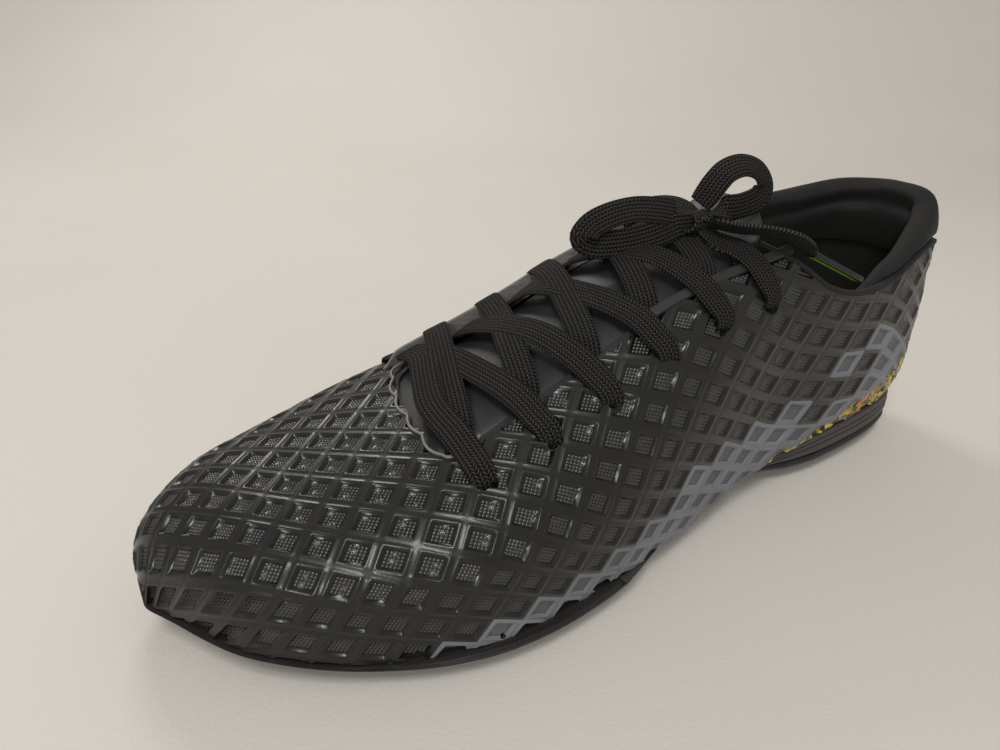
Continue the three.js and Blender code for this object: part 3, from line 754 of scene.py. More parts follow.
def cut_edge_material():
    """The raw edge of the skin: grey, brushed along the cut."""
    shade = Shader("cut_edge")
    stretched = shade.node("ShaderNodeMapping", {0: shade.here(), 3: (120.0, 1500.0, 1500.0)})
    streak = shade.noise(1.0, 4.0, stretched.outputs[0])
    color = shade.mix(streak, (0.035, 0.033, 0.031), (0.210, 0.200, 0.188))
    return shade.finish(color, 0.45, shade.times(streak, 0.12))


def braid_material():
    """Flat braid: columns of slanting stitches, from millimetres on the lace's own sheet."""
    shade = Shader("braid")
    u, v = shade.sheet()
    slant = shade.math("PINGPONG", shade.math("ADD", u, 40 * BRAID_COLUMN), BRAID_COLUMN)
    phase = shade.times(shade.math("ADD", v, shade.times(slant, 0.9)), math.pi / BRAID_STITCH)
    stitch = shade.math("POWER", shade.math("ABSOLUTE", shade.math("SINE", phase)), 0.7)
    columns = shade.math("ABSOLUTE", shade.math("SINE", shade.times(u, math.pi / BRAID_COLUMN)))
    strands = shade.times(stitch, shade.math("POWER", columns, 0.5))
    fibre = shade.noise(5200.0, 3.0)
    tone = shade.times(strands, shade.math("ADD", shade.times(fibre, 0.9), 0.45))
    # The colour follows the strands' height: the near black in the gaps between strands is painted shade; the
    # strand tops keep the lace's own dark grey
    color = shade.mix(shade.math("POWER", tone, 2.0), (0.0005, 0.0005, 0.0005), (0.066, 0.061, 0.056))
    height = shade.math("ADD", shade.times(strands, 0.7), shade.times(fibre, 0.15))
    return shade.finish(color, 0.7, height, Specular_IOR_Level=0.1, Sheen_Weight=0.01, Sheen_Roughness=0.5)


def cloth_material(name, dark, light, pitch, depth, roughness=0.9):
    """A fine knit: rows of small loops that follow the surface."""
    shade = Shader(name)
    loops = shade.node("ShaderNodeTexVoronoi", {"Scale": 1000.0 / pitch, "Vector": shade.here()})
    blotch = shade.noise(90.0, 3.0)
    knit = loops.outputs["Distance"]
    color = shade.mix(shade.sum(shade.times(knit, 0.5), shade.times(blotch, 0.5)), light, dark)
    height = shade.sum(shade.times(knit, -depth), shade.times(blotch, 0.15))
    return shade.finish(color, roughness, height, Specular_IOR_Level=0.2, Sheen_Weight=0.03,
                        Sheen_Roughness=0.6)


MATERIALS = {
    "skin": skin_material(),
    "backing": plain_material("backing", (0.006, 0.006, 0.006), (0.013, 0.012, 0.012), 0.5, 2400.0, 0.05),
    "edging": plain_material("edging_film", (0.016, 0.015, 0.015), (0.034, 0.032, 0.031), 0.42, 2400.0, 0.05),
    "cut": cut_edge_material(),
    "lining": cloth_material("lining_knit", (0.003, 0.003, 0.003), (0.011, 0.010, 0.010), 0.7, 0.10),
    "roll": cloth_material("collar_cloth", (0.005, 0.005, 0.005), (0.013, 0.012, 0.012), 0.5, 0.05, 0.7),
    "tongue": plain_material("tongue_film", (0.012, 0.0115, 0.012), (0.026, 0.025, 0.025), 0.45,
                             2200.0, 0.06),
    "insole": cloth_material("insole_knit", (0.26, 0.66, 0.02), (0.42, 0.88, 0.04), 1.1, 0.12),
    "rubber": plain_material("sole_rubber", (0.014, 0.013, 0.013), (0.026, 0.024, 0.023), 0.38, 1700.0, 0.05),
    "foam": plain_material("midsole_skin", (0.036, 0.033, 0.031), (0.060, 0.055, 0.052), 0.48, 1500.0, 0.07),
    "film": plain_material("aglet_film", (0.003, 0.003, 0.003), (0.006, 0.006, 0.006), 0.25, 900.0, 0.04,
                           0.25, Coat_Weight=0.1, Coat_Roughness=0.2),
    "braid": braid_material(),
}


# Ribbons
def centripetal(stops, count):
    """A smooth line through given stops, count places along it."""
    stops = np.asarray(stops, float)
    stops = np.concatenate([[2 * stops[0] - stops[1]], stops, [2 * stops[-1] - stops[-2]]])
    knots = np.concatenate([[0], np.cumsum(np.sqrt(np.linalg.norm(np.diff(stops[:, :3], axis=0), axis=1)))])
    u = np.linspace(knots[1], knots[-2], count)
    k = np.clip(np.searchsorted(knots, u, side="right") - 1, 1, len(stops) - 3)
    t = [knots[k + n][:, None] for n in (-1, 0, 1, 2)]
    p = [stops[k + n] for n in (-1, 0, 1, 2)]
    u = u[:, None]

    def blend(a, b, ta, tb):
        return (a * (tb - u) + b * (u - ta)) / (tb - ta)

    first = [blend(p[n], p[n + 1], t[n], t[n + 1]) for n in range(3)]
    second = [blend(first[n], first[n + 1], t[n], t[n + 2]) for n in range(2)]
    return blend(second[0], second[1], t[1], t[2])


RIBBON_SIDES = 14


def ribbon_rings(centres, ups, widths, thickness):
    """Flat rounded rings along a line, facing up, and their places on the ribbon's own sheet."""
    ahead = directions(centres)
    beside = unit(np.cross(ahead, ups))
    lift = np.cross(beside, ahead)
    turn = np.linspace(0, 2 * np.pi, RIBBON_SIDES, endpoint=False)
    flat = np.sign(np.cos(turn)) * np.abs(np.cos(turn)) ** 0.45
    high = np.sign(np.sin(turn)) * np.abs(np.sin(turn)) ** 0.45
    widths = np.broadcast_to(widths, len(centres))
    rings = (centres[:, None] + beside[:, None] * (flat[None, :, None] * widths[:, None, None] / 2)
             + lift[:, None] * (high[None, :, None] * thickness / 2))
    run = run_along(centres)[:, None]
    sheet = np.stack(np.broadcast_arrays(flat[None] * widths[:, None] / 2, run), -1)
    return rings, sheet


def joined_lofts(name, parts, materials, nodes=()):
    """Several closed ribbons as one piece."""
    points, faces, sheet = [], [], []
    first = 0
    for rings, places in parts:
        flat = rings.reshape(-1, 3)
        made = outward(flat, loft_faces(rings.shape[0], rings.shape[1]))
        faces += [[first + v for v in face] for face in made]
        points.append(flat)
        sheet.append(places.reshape(-1, 2))
        first += len(flat)
    points, sheet = np.concatenate(points), np.concatenate(sheet)
    make_piece(name, points, faces, materials, nodes, sheet, sharp=70)


def steady_ups(centres, first_up):
    """Up directions carried along a line without turning about it."""
    ups = []
    up = np.asarray(first_up, float)
    for tangent in directions(centres):
        up = unit(up - tangent * (up @ tangent))
        ups.append(up)
    return np.array(ups)


def run_along(points):
    """The distance along a line at each of its points."""
    return np.concatenate([[0], np.cumsum(np.linalg.norm(np.diff(points, axis=0), axis=1))])


def line_length(points):
    return float(np.linalg.norm(np.diff(points, axis=0), axis=1).sum())


# The bow: two cords, each a loop that runs on through the knot to a free end
KNOT_SEEN = np.array([-KNOT[0], KNOT[1], KNOT[2] - 1.2])
KNOT_PINCH, KNOT_NARROWS = 5.5, 0.45
AGLET_WIDTH, AGLET_ENDS, AGLET_THICKNESS = 3.2, (2.9, 2.6), 2.2


def loop_ups(centres, facing):
    """Ribbon directions that lean from a loop's own outside towards the viewer."""
    return unit(unit(centres - centres.mean(0)) * (1 - facing) + CAMERA_BACK * facing)


def end_ups(centres, facing):
    """Ribbon directions of a free end that lies more or less on its edge."""
    edge = unit(np.cross(directions(centres), CAMERA_BACK))
    return unit(edge * (1 - facing) + CAMERA_BACK * facing)


def bow_cord(name, loop, end, facing, nodes, aglet_stops, aglet_node):
    loop_line = centripetal(route(loop), 72)
    end_stops = np.concatenate([route(loop)[-1:], KNOT_SEEN[None], route(end), route(aglet_stops)[:1]])
    end_line = centripetal(end_stops, 44)
    centres = np.concatenate([loop_line, end_line[1:]])
    ups = np.concatenate([loop_ups(loop_line, facing[0]), end_ups(end_line, facing[1])[1:]])
    for _ in range(10):
        ups[1:-1] = (ups[:-2] + ups[1:-1] * 2 + ups[2:]) / 4
    close = np.exp(-(np.linalg.norm(centres - KNOT_SEEN, axis=1) / KNOT_PINCH) ** 2)
    widths = (LACE_WIDTH + 0.2) * (1 - KNOT_NARROWS * close)
    widths[-8:] = np.linspace(widths[-9], 3.6, 8)
    rings, sheet = ribbon_rings(centres, ups, widths, LACE_THICKNESS)
    cord = loft_piece(name, rings, [MATERIALS["braid"]], nodes, sheet, sharp=70)
    tip_line = centripetal(route(aglet_stops), 14)
    tip_widths = np.full(len(tip_line), AGLET_WIDTH)
    tip_widths[[0, -1]] = AGLET_ENDS
    tip_ups = steady_ups(tip_line, ups[-1])
    tip_rings, tip_sheet = ribbon_rings(tip_line, tip_ups, tip_widths, AGLET_THICKNESS)
    tip = loft_piece(aglet_node + "_tip", tip_rings, [MATERIALS["film"]], [aglet_node],
                     tip_sheet, sharp=70)
    line_length(centres) * MM


def make_bow():
    bow_cord("bow_back", LOOP_BACK, END_LATERAL, (0.62, 0.05), ["lace_loop_back", "lace_end_lateral"],
             AGLET_LATERAL, "aglet_lateral")
    bow_cord("bow_forward", LOOP_FORWARD, END_MEDIAL, (0.75, 0.7), ["lace_loop_forward", "lace_end_medial"],
             AGLET_MEDIAL, "aglet_medial")


def make_knot():
    """The knot: the ribbon wrapped twice round its own middle."""
    parts = []
    for tilt, offset in ((0.5, -1.6), (-0.35, 1.5)):
        turn = np.linspace(0, 2 * np.pi, 33)
        ring = np.stack([np.full(turn.shape, offset) + 1.4 * np.sin(turn + tilt), 3.9 * np.cos(turn),
                         2.4 * np.sin(turn)], -1)
        out = np.stack([np.zeros(turn.shape), np.cos(turn), 1.6 * np.sin(turn)], -1)
        parts.append(ribbon_rings(KNOT_SEEN + ring, out, 5.4, 1.4))
    joined_lofts("knot", parts, [MATERIALS["braid"]], ["lace_knot"])


# Laces over the throat
def on_top(along, across, depth):
    t = t_at(along)
    side = LATERAL if across < 0 else MEDIAL
    level = level_of_across(t, abs(across), side)
    return np.concatenate([skin_point(t, level, side, depth), last_normal(t, level, np.array(side))])


def beyond_edge(along, side, girth, depth):
    """The place girth past the throat's edge, measured down the skin, with its outward direction."""
    t = t_at(along)
    s = np.interp(t, T_ROWS, S_ROWS)
    g = side * (girth_at(t, side, edge_across(along, side)) + girth)
    point, normal, _ = sheet_at(np.array([s]), np.array([g]))
    return np.concatenate([point[0] - normal[0] * depth, normal[0]])


ON_SKIN = -(0.15 + LACE_THICKNESS / 2)
# How a lace dips into its hole: how far past the hole's middle, depth under the skin
HOLE_DIP = ((-2.4, ON_SKIN + 0.1), (0.4, ON_SKIN + 1.9), (1.2, 3.6))


def into_hole(alongs, side):
    return [beyond_edge(along, side, HOLE_SETBACK + past, depth)
            for along, (past, depth) in zip(alongs, HOLE_DIP)]


def lace_run(stops, widths, count=56):
    path = centripetal(np.array(stops), count)
    widths = np.interp(np.linspace(0, 1, count), np.linspace(0, 1, len(widths)), widths)
    return ribbon_rings(path[:, :3], path[:, 3:], widths, LACE_THICKNESS)


def crossing(from_along, to_along, side, lift):
    """From under the far edge, over the tongue, across the near edge and into its hole."""
    def at(share):
        return from_along + (to_along - from_along) * share
    start = -side * edge_across(from_along, -side)
    near = side * edge_across(to_along, side)
    under = 1.9
    return lace_run([
        on_top(at(-0.12), start - side * 5.0, WALL + 1.0),
        on_top(at(0.02), start, under),
        on_top(at(0.12), start + side * 4.5, ON_SKIN + 0.9),
        on_top(at(0.30), start * 0.35, ON_SKIN - lift[0]),
        on_top(at(0.62), near * 0.45, ON_SKIN - lift[1]),
        on_top(at(0.84), near, ON_SKIN - (0.3 if side == LATERAL else 2.9)),
        beyond_edge(at(0.93), side, HOLE_SETBACK * 0.55, ON_SKIN),
        *into_hole((at(0.985), to_along, to_along + 0.002), side),
    ], (7.0, 8.0, 8.0, 8.1, 8.1, 8.1, 8.0, 7.6, 6.8, 5.4))


def front_bar():
    """The first lace, straight over from hole to hole."""
    def half(side):
        along = HOLES[side][0]
        near = side * edge_across(along, side)
        return [
            *into_hole((along, along, along), side)[::-1],
            beyond_edge(along, side, HOLE_SETBACK * 0.5, ON_SKIN),
            on_top(along, near, ON_SKIN - 0.6),
            on_top(along, near * 0.5, ON_SKIN - 1.6),
        ]
    middle = (HOLES[LATERAL][0] + HOLES[MEDIAL][0]) / 2
    stops = [*half(LATERAL), on_top(middle, 0.0, ON_SKIN - 1.8), *half(MEDIAL)[::-1]]
    return lace_run(stops, (5.4, 6.8, 7.6, 8, 8, 8.1, 8.1, 8.1, 8, 8, 7.6, 6.8, 5.4), 72)


def top_strand(side):
    along = HOLES[side][-1]
    start = side * edge_across(along, side)
    knot_along = KNOT[0] / LENGTH
    return lace_run([
        on_top(along + 0.018, start + side * 4.0, WALL + 1.0),
        on_top(along + 0.012, start, 1.9),
        on_top(along + 0.010, start * 0.8, 0.2),
        on_top((along + knot_along) / 2 + 0.01, 0.5 * start + 0.5 * KNOT[1], -0.6),
        np.array([-KNOT[0], KNOT[1] + side * 1.5, KNOT[2] - 1.6, 0, 0, 1]),
    ], (7, 8, 8, 7.6, 5.5), 40)


def make_laces():
    parts = [front_bar(), top_strand(LATERAL), top_strand(MEDIAL)]
    over, under = (0.2, 1.9), (1.2, 0.1)
    for k in range(len(HOLES[LATERAL]) - 1):
        first, second = (over, under) if k % 2 else (under, over)
        parts.append(crossing(HOLES[MEDIAL][k], HOLES[LATERAL][k + 1], LATERAL, first))
        parts.append(crossing(HOLES[LATERAL][k], HOLES[MEDIAL][k + 1], MEDIAL, second))
    joined_lofts("laces", parts, [MATERIALS["braid"]], ["lace_crossings"])


# The throat's edging: sections as girth past the edge and depth under the skin
EDGING_START = 0.345
FRONT_START = 0.715
SCALLOP_PITCH = 9.5
SCALLOP_OUT = (0.63, 1.80)
EDGING_FLAT = [
    (-0.1, WALL), (-0.15, 0.9), (-0.1, 0.1), (0.15, -0.12), (0.45, -0.2), (2.4, -0.2), (2.75, -0.1),
    (2.95, 0.15), (2.95, WALL),
]
EDGING_RAISED = [
    (-0.1, WALL), (-0.8, 0.8), (-1.4, -1.4), (-1.7, -3.6), (-1.3, -4.0), (-0.5, -3.7), (0.3, -2.2),
    (1.2, -0.4), (2.2, WALL),
]


def make_edging():
    """The strip along each side of the throat: flat on the near side, a raised cut edge on the far one."""
    for side, name, front, section, material in (
            (LATERAL, "edging_lateral", 0.545, EDGING_FLAT, "edging"),
            (MEDIAL, "edging_medial", 0.735, EDGING_RAISED, "cut")):
        rings = []
        for along in np.linspace(EDGING_START, front, 70):
            thin = min(1.0, (front - along) / 0.02 + 0.1, (along - EDGING_START) / 0.02 + 0.1)
            rings.append([beyond_edge(along, side, girth, depth * thin if depth < 0 else depth)[:3]
                          for girth, depth in section])
        loft_piece(name, rings, [MATERIALS[material]], sharp=50)


def make_front_edge():
    """The raw edge round the front of the throat, with scallops that follow the pockets."""
    outline = throat_outline()
    front = outline[outline[:, 0] < -FRONT_START * LENGTH]
    run = run_along(front)
    at = np.linspace(0, run[-1], 160)
    line = np.stack([np.interp(at, run, front[:, k]) for k in (0, 1)], -1)
    ahead = directions(line)
    scallop = np.interp(np.abs(np.sin(np.pi * at / SCALLOP_PITCH)), (0, 1), SCALLOP_OUT)
    line += np.stack([-ahead[:, 1], ahead[:, 0]], -1) * scallop[:, None]
    places = []
    for x, y in line:
        along = -x / LENGTH
        places.append(on_top(along, y - BALL_WIDTH * float(column("middle", t_at(along))), -0.1))
    places = np.array(places)
    rings, _ = ribbon_rings(places[:, :3], places[:, 3:], 0.8, 0.9)
    loft_piece("edging_front", rings, [MATERIALS["cut"]], sharp=60)


# Upper: the embossed skin on its backing
ROWS = {"start": -0.49, "along": 9.52, "round": 8.27, "along_more": -0.88, "both": -0.57, "round_more": 2.74}
COLUMNS = {"start": -3.26, "along": 9.3, "round": -10.79, "along_more": -1.03, "both": 0.27,
           "round_more": 3.9}
LATTICE_KNEES = (220.0, 70.0)
CELL_ROWS, CELL_COLUMNS = (-14, 34), (-14, 36)
HEEL_TAPE_HALF = 8.0
HOLE_RADIUS = 3.0


def widen(x, knee):
    """The square of x, carried on as a straight line past the knee; per 100 mm."""
    size, knee = np.abs(x) / 100, knee / 100
    return np.sign(x) * np.where(size < knee, size ** 2, 2 * knee * size - knee ** 2)


def lattice(s, g):
    """The pocket row and column at a place on the sheet; pockets grow towards the heel and the sole."""
    def index(law):
        bent = law["along_more"] * widen(s, LATTICE_KNEES[0]) + law["round_more"] * widen(g, LATTICE_KNEES[1])
        straight = law["start"] + law["along"] * s / 100 + law["round"] * g / 100
        return straight + law["both"] * s * g / 1e4 + bent
    return index(ROWS), index(COLUMNS)


def sheet_of(row, col):
    """The place on the sheet of a lattice position, by Newton's steps."""
    s = 100.0 + 5.9 * (row - 4) + 5.9 * (col - 6)
    g = 5.0 * (row - 4) - 5.0 * (col - 6) - 30
    for _ in range(14):
        r0, c0 = lattice(s, g)
        r1, c1 = lattice(s + 0.1, g)
        r2, c2 = lattice(s, g + 0.1)
        rs, cs, rg, cg = (r1 - r0) / 0.1, (c1 - c0) / 0.1, (r2 - r0) / 0.1, (c2 - c0) / 0.1
        size = rs * cg - rg * cs
        dr, dc = row - r0, col - c0
        s = np.clip(s + (cg * dr - rg * dc) / size, -80, 420)
        g = np.clip(g + (rs * dc - cs * dr) / size, -170, 170)
    return s, g


def pocket_lines(low, high):
    inner = [POCKET_FLOOR, POCKET_EDGE, POCKET_HALF, POCKET_LIP]
    offsets = [-0.5, *[-x for x in inner[::-1]], *inner]
    return np.array([cell + x for cell in range(low, high) for x in offsets])


def pocket_depth(reach):
    depths = (POCKET_DEPTH, POCKET_DEPTH, 0.15 * POCKET_DEPTH, -0.12, 0.02, 0.12)
    places = (0, POCKET_FLOOR, POCKET_EDGE, POCKET_HALF, POCKET_LIP, 0.5)
    return np.interp(reach, places, depths)


PRINT_START = {
    -4: 6.5, -3: 7.5, -2: 8.5, -1: 9.5, 0: 10.5, 1: 11.5, 2: 12.3, 3: 13.8, 4: 15, 5: 15, 6: 16, 7: 17,
    8: 20, 9: 21, 10: 21, 11: 22, 12: 23,
}
PRINT_ALONE = ((8, 18), (10, 19), (11, 20), (11, 21))


def print_tones(row, col, across):
    """How grey each pocket is: the lower lateral side is printed, with a few pockets apart from it."""
    first = np.interp(row, list(PRINT_START), list(PRINT_START.values()))
    printed = col >= first - 0.25
    for alone in PRINT_ALONE:
        printed |= (row == alone[0]) & (col == alone[1])
    chance = np.abs(np.sin(row * 12.9898 + col * 78.233) * 43758.5453) % 1
    return np.where(printed & (across < 0), 0.75 + 0.25 * chance, 0.0)


# How high over the lower edge the speckled print climbs: distance from the toe, height
SPECKLE_TOP = (
    (195, 215, 229, 242, 255, 268, 282, 295, 321),
    (-3, 0.8, 2.2, 4.2, 7, 10.5, 13.5, 17, 24),
)


def skin_room(s, g, point, height, reach):
    """How far inside the skin's edges each place lies; the edges follow the pockets in front."""
    side = np.where(g < 0, LATERAL, MEDIAL)
    at_sides = smooth_step(-point[:, 0], 0.76 * LENGTH, 0.70 * LENGTH)
    in_front = 1 - smooth_step(s, 130, 170)
    pocket = 1 - smooth_step(reach, 0.31, 0.41)
    return np.minimum.reduce([
        collar_room(point, side) - 0.2,
        throat_room(point) - 2.0 * at_sides - 1.9 * pocket * (1 - at_sides),
        height - 0.15 - 1.7 * in_front * pocket,
        s - 0.5,
        S_END - HEEL_TAPE_HALF + 4.5 - s,
        hole_room(s, g, HOLE_RADIUS),
    ])


def skin_tones(row, col):
    """The print of each place, from the pocket it belongs to."""
    row, col = np.floor(row + 0.5), np.floor(col + 0.5)
    return print_tones(row, col, sheet_of(row, col)[1])


def speckle_at(s, g, height):
    return smooth_step(np.interp(s, *SPECKLE_TOP) - height, -0.8, 0.8) * (g < 0)


def make_skin():
    """The outer skin: a lattice of square pockets with rounded corners, cut along its edges."""
    rows, columns = pocket_lines(*CELL_ROWS), pocket_lines(*CELL_COLUMNS)
    row, col = (a.ravel() for a in np.meshgrid(rows, columns, indexing="ij"))
    cell_row, cell_col = np.floor(row + 0.5), np.floor(col + 0.5)
    u, v = row - cell_row, col - cell_col
    reach = np.maximum(np.abs(u), np.abs(v))
    roundness = (np.abs(u) ** 7 + np.abs(v) ** 7 + 1e-12) ** (1 / 7)
    pull = np.where(reach < POCKET_HALF + 1e-6, reach / roundness, 1.0)
    row, col = cell_row + u * pull, cell_col + v * pull
    s, g = sheet_of(row, col)
    point, normal, height = sheet_at(np.clip(s, 0, S_END), g)
    keep = skin_room(s, g, point, height, reach)
    quads = grid_faces(len(rows), len(columns))
    spread = np.abs(s[quads].max(1) - s[quads].min(1)) + np.abs(g[quads].max(1) - g[quads].min(1))
    quads = quads[spread < 40]
    faces, cuts = clip_faces(quads, keep)
    depth = pocket_depth(reach)
    outer = with_cuts(point - normal * depth[:, None], cuts)
    inner = with_cuts(point - normal * SKIN_DEPTH, cuts)
    sheet = with_cuts(np.stack([row, col], -1), cuts)
    s, g, height, throat = (with_cuts(a, cuts) for a in (s, g, height, throat_room(point)))
    count = len(outer)
    points = np.concatenate([outer, inner])
    every = shell_faces(outer, faces, throat)
    centre = np.array([sheet[np.asarray(face) % count].mean(0) for face, _ in every])
    speckle = speckle_at(s, g, height)
    tones = {"print": skin_tones(centre[:, 0], centre[:, 1]), "speckle": np.concatenate([speckle, speckle]),
             "bead_painted_glint": np.zeros(2 * count)}
    make_piece("skin", points, every, [MATERIALS["skin"], MATERIALS["backing"], MATERIALS["cut"]],
               ["upper"], np.concatenate([sheet, sheet]), tones, sharp=75)


def make_beads():
    """Small pyramids, five by five on every pocket's floor."""
    steps = (np.arange(5) - 2) * BEAD_PITCH
    cells = np.stack(np.meshgrid(np.arange(*CELL_ROWS), np.arange(*CELL_COLUMNS), indexing="ij"), -1)
    spots = np.stack(np.meshgrid(steps, steps, indexing="ij"), -1)
    middles = (cells.reshape(-1, 1, 2) + spots.reshape(1, -1, 2)).reshape(-1, 2)
    row, col = middles.T
    s, g = sheet_of(row, col)
    point, _, height = sheet_at(np.clip(s, 0, S_END), g)
    found = np.hypot(*(np.array(lattice(s, g)) - middles.T)) < 0.01
    kept = found & (skin_room(s, g, point, height, np.zeros(len(s))) > 0.5)
    middles = middles[kept]
    corners = np.array([(-1, -1), (1, -1), (1, 1), (-1, 1), (0, 0)]) * BEAD_HALF
    at = middles[:, None] + corners
    s, g = sheet_of(at[..., 0], at[..., 1])
    point, normal, height = sheet_at(s, g)
    depth = POCKET_DEPTH - np.array([*[-BEAD_BURIED] * 4, BEAD_RISE])
    points = (point - normal * depth[:, None]).reshape(-1, 3)
    shape = [(0, 1, 4), (1, 2, 4), (2, 3, 4), (3, 0, 4), (3, 2, 1, 0)]
    faces = [[5 * k + v for v in face] for k in range(len(middles)) for face in shape]
    flat = at.reshape(-1, 2)
    # The bead tone paints the beads paler than the pocket floor: a painted glint
    tones = {"print": skin_tones(flat[:, 0], flat[:, 1]), "speckle": speckle_at(s, g, height).ravel(),
             "bead_painted_glint": np.tile((0.3, 0.3, 0.3, 0.3, 1.0), len(middles))}
    make_piece("skin_beads", points, outward(points, faces), [MATERIALS["skin"]], (), flat,
               tones, sharp=89)


def make_backing():
    """The layer behind the skin: it shows under the skin's lower edge, in the throat and inside."""
    t = t_of(np.concatenate([[0.0], np.linspace(0.0008, 0.9992, 150), [1.0]]))
    turns = np.linspace(-1, 1, 97)
    t, turn = (a.ravel() for a in np.meshgrid(t, turns, indexing="ij"))
    s = np.interp(t, T_ROWS, S_ROWS)
    side = np.where(turn < 0, LATERAL, MEDIAL)
    g = turn * full_girth(t, T_ROWS, side)
    point, normal, _ = sheet_at(s, g)
    throat = throat_room(point)
    keep = np.minimum.reduce([collar_room(point, side), throat, hole_room(s, g, HOLE_RADIUS - 0.4)])
    count_rows = len(t) // len(turns)
    quads = grid_faces(count_rows, len(turns))
    last = (count_rows - 1) * len(turns)
    k = np.arange(len(turns) // 2)
    opposite = len(turns) - 1 - k
    heel = np.stack([k, k + 1, opposite - 1, opposite], -1)
    toe = np.stack([last + opposite, last + opposite - 1, last + k + 1, last + k], -1)
    quads = np.concatenate([quads[:, ::-1], heel[:-1], toe[:-1]])
    faces, cuts = clip_faces(quads, keep)
    outer = with_cuts(point - normal * (SKIN_DEPTH + 0.03), cuts)
    inner = with_cuts(point - normal * WALL, cuts)
    throat = with_cuts(throat, cuts)
    every = shell_faces(outer, faces, throat)
    make_piece("backing", np.concatenate([outer, inner]), every,
               [MATERIALS["backing"], MATERIALS["lining"], MATERIALS["cut"]], sharp=60)


def make_heel_tape():
    """The strip up the back of the heel, over the ends of the skin."""
    rows = np.linspace(0, 0.12, 80)
    reach = np.hypot(half_at(rows, LATERAL) - half_at(0.0, LATERAL), LENGTH * share_of(rows)) + 4.0
    reach[0] = 0.0
    low, high = edge_at(0.0) + 0.3, COLLAR["lateral_skin"][0] * INSTEP - 0.5
    rings = []
    for h in np.linspace(0, 1, 40):
        z = low + h * (high - low)
        outer, inner = [], []
        for a in np.linspace(-1, 1, 13) * (HEEL_TAPE_HALF - 1.5 * h):
            side = LATERAL if a < 0 else MEDIAL
            t = float(np.interp(abs(a), reach, rows))
            above = z > INSTEP * column("widest", t)
            level = level_of_height(t, z) if above else float(np.interp(z, *back_levels(t)))
            outer.append(skin_point(t, level, side, -0.55))
            inner.append(skin_point(t, level, side, 0.9))
        rings.append(outer + inner[::-1])
    loft_piece("heel_tape", rings, [MATERIALS["backing"]], sharp=40)


def back_levels(t):
    levels = np.linspace(-1, 0, 40)
    return last_point(np.full(40, t), levels, LATERAL)[:, 2], levels


# Collar: the padded roll and the binding along the skin's edge
def roll_section(along, side):
    skin_top = INSTEP * float(table(COLLAR, SIDE_NAMES[side] + "_skin", along))
    roll_top = INSTEP * float(table(COLLAR, SIDE_NAMES[side] + "_roll", along))
    thick = ROLL_THICKNESS * math.sqrt(min(max(1.15 - along / ROLL_END[side], 0.05), 1))
    stand = max(roll_top - skin_top - 1.5, 1)
    proud = min(max((roll_top - skin_top - 1.5) / 4, 0), 1)
    inside, drop = WALL + 0.25, ROLL_DROP
    face = inside + (GAP - inside) * proud
    crease = 0.5 * math.exp(-(((along - 0.13) / 0.012) ** 2)) if side < 0 else 0.0
    section = [
        (inside, roll_top - drop), (inside, roll_top - stand), (face, roll_top - 0.85 * stand),
        (face + 0.3, roll_top - 0.4 * stand), (face + 0.3 * thick, roll_top),
        (inside + 0.5 * thick, roll_top + 0.05 * thick - crease),
        (inside + thick, roll_top - 0.35 * thick - crease), (inside + 0.72 * thick, roll_top - 0.33 * drop),
        (inside + 0.95 * thick, roll_top - 0.5 * drop), (inside + 0.3 * thick, roll_top - drop),
    ]
    section = np.array(section)
    count = len(section)
    f = np.linspace(0, 1, 4, endpoint=False)[:, None]
    return np.concatenate([
        catmull(*(section[(k + n) % count] for n in (-1, 0, 1, 2)), f) for k in range(count)
    ])


def round_heel(end, count):
    """Stations from the lateral side round the heel to the medial one."""
    stations = [(t, LATERAL) for t in np.linspace(t_at(end[LATERAL]), 0, count)]
    return stations + [(t, MEDIAL) for t in np.linspace(0, t_at(end[MEDIAL]), count)]


def make_collar():
    rings = []
    for t, side in round_heel(ROLL_END, 60):
        section = roll_section(float(share_of(t)), side)
        level = level_of_height(np.full(len(section), t), section[:, 1])
        ripple = 0.22 * math.sin(37 * t * side) + 0.15 * math.sin(83 * t + side)
        depth = section[:, 0] + ripple * (section[:, 0] > WALL + 3)
        rings.append(skin_point(np.full(len(section), t), level, np.full(len(section), side), depth))
    roll = loft_piece("collar_roll", rings, [MATERIALS["roll"]], ["collar_padding"], sharp=80)
    line = []
    for t, side in round_heel(BINDING_END, 80):
        z = INSTEP * float(table(COLLAR, SIDE_NAMES[side] + "_skin", float(share_of(t)))) + 0.1
        line.append(skin_point(t, level_of_height(t, z), side, 0.9))
    line = np.array(line)
    rings, sheet = ribbon_rings(line, np.tile((0.0, 0.0, 1.0), (len(line), 1)), 2.7, 1.7)
    loft_piece("collar_binding", rings, [MATERIALS["roll"]], (), sheet, sharp=80)


# Tongue and insole
def make_tongue():
    alongs = np.linspace(TONGUE["along"][0], TONGUE["along"][-1], 90)
    across = np.sin(np.linspace(-1, 1, 25) * np.pi / 2)
    rings = []
    for k, along in enumerate(alongs):
        t = t_at(along)
        half = BALL_WIDTH * float(table(TONGUE, "half", along))
        rise = INSTEP * float(table(TONGUE, "rise", along))
        end = min(k / 3, 1)
        top, bottom = [], []
        for a in across:
            side = LATERAL if a < 0 else MEDIAL
            level = float(level_of_across(t, abs(a * half), side))
            thin = math.sqrt(max(1 - abs(a) ** 6, 0.02)) * (0.55 + 0.45 * end)
            puff = 0.35 * math.cos(a * np.pi / 2)
            middle, half_sheet = WALL + 0.8 + TONGUE_SHEET / 2, TONGUE_SHEET / 2 * thin
            top.append(skin_point(t, level, side, middle - half_sheet - puff) + (0, 0, rise))
            bottom.append(skin_point(t, level, side, middle + half_sheet) + (0, 0, rise))
        rings.append(top + bottom[::-1])
    loft_piece("tongue_sheet", rings, [MATERIALS["tongue"]], ["tongue"], sharp=70)


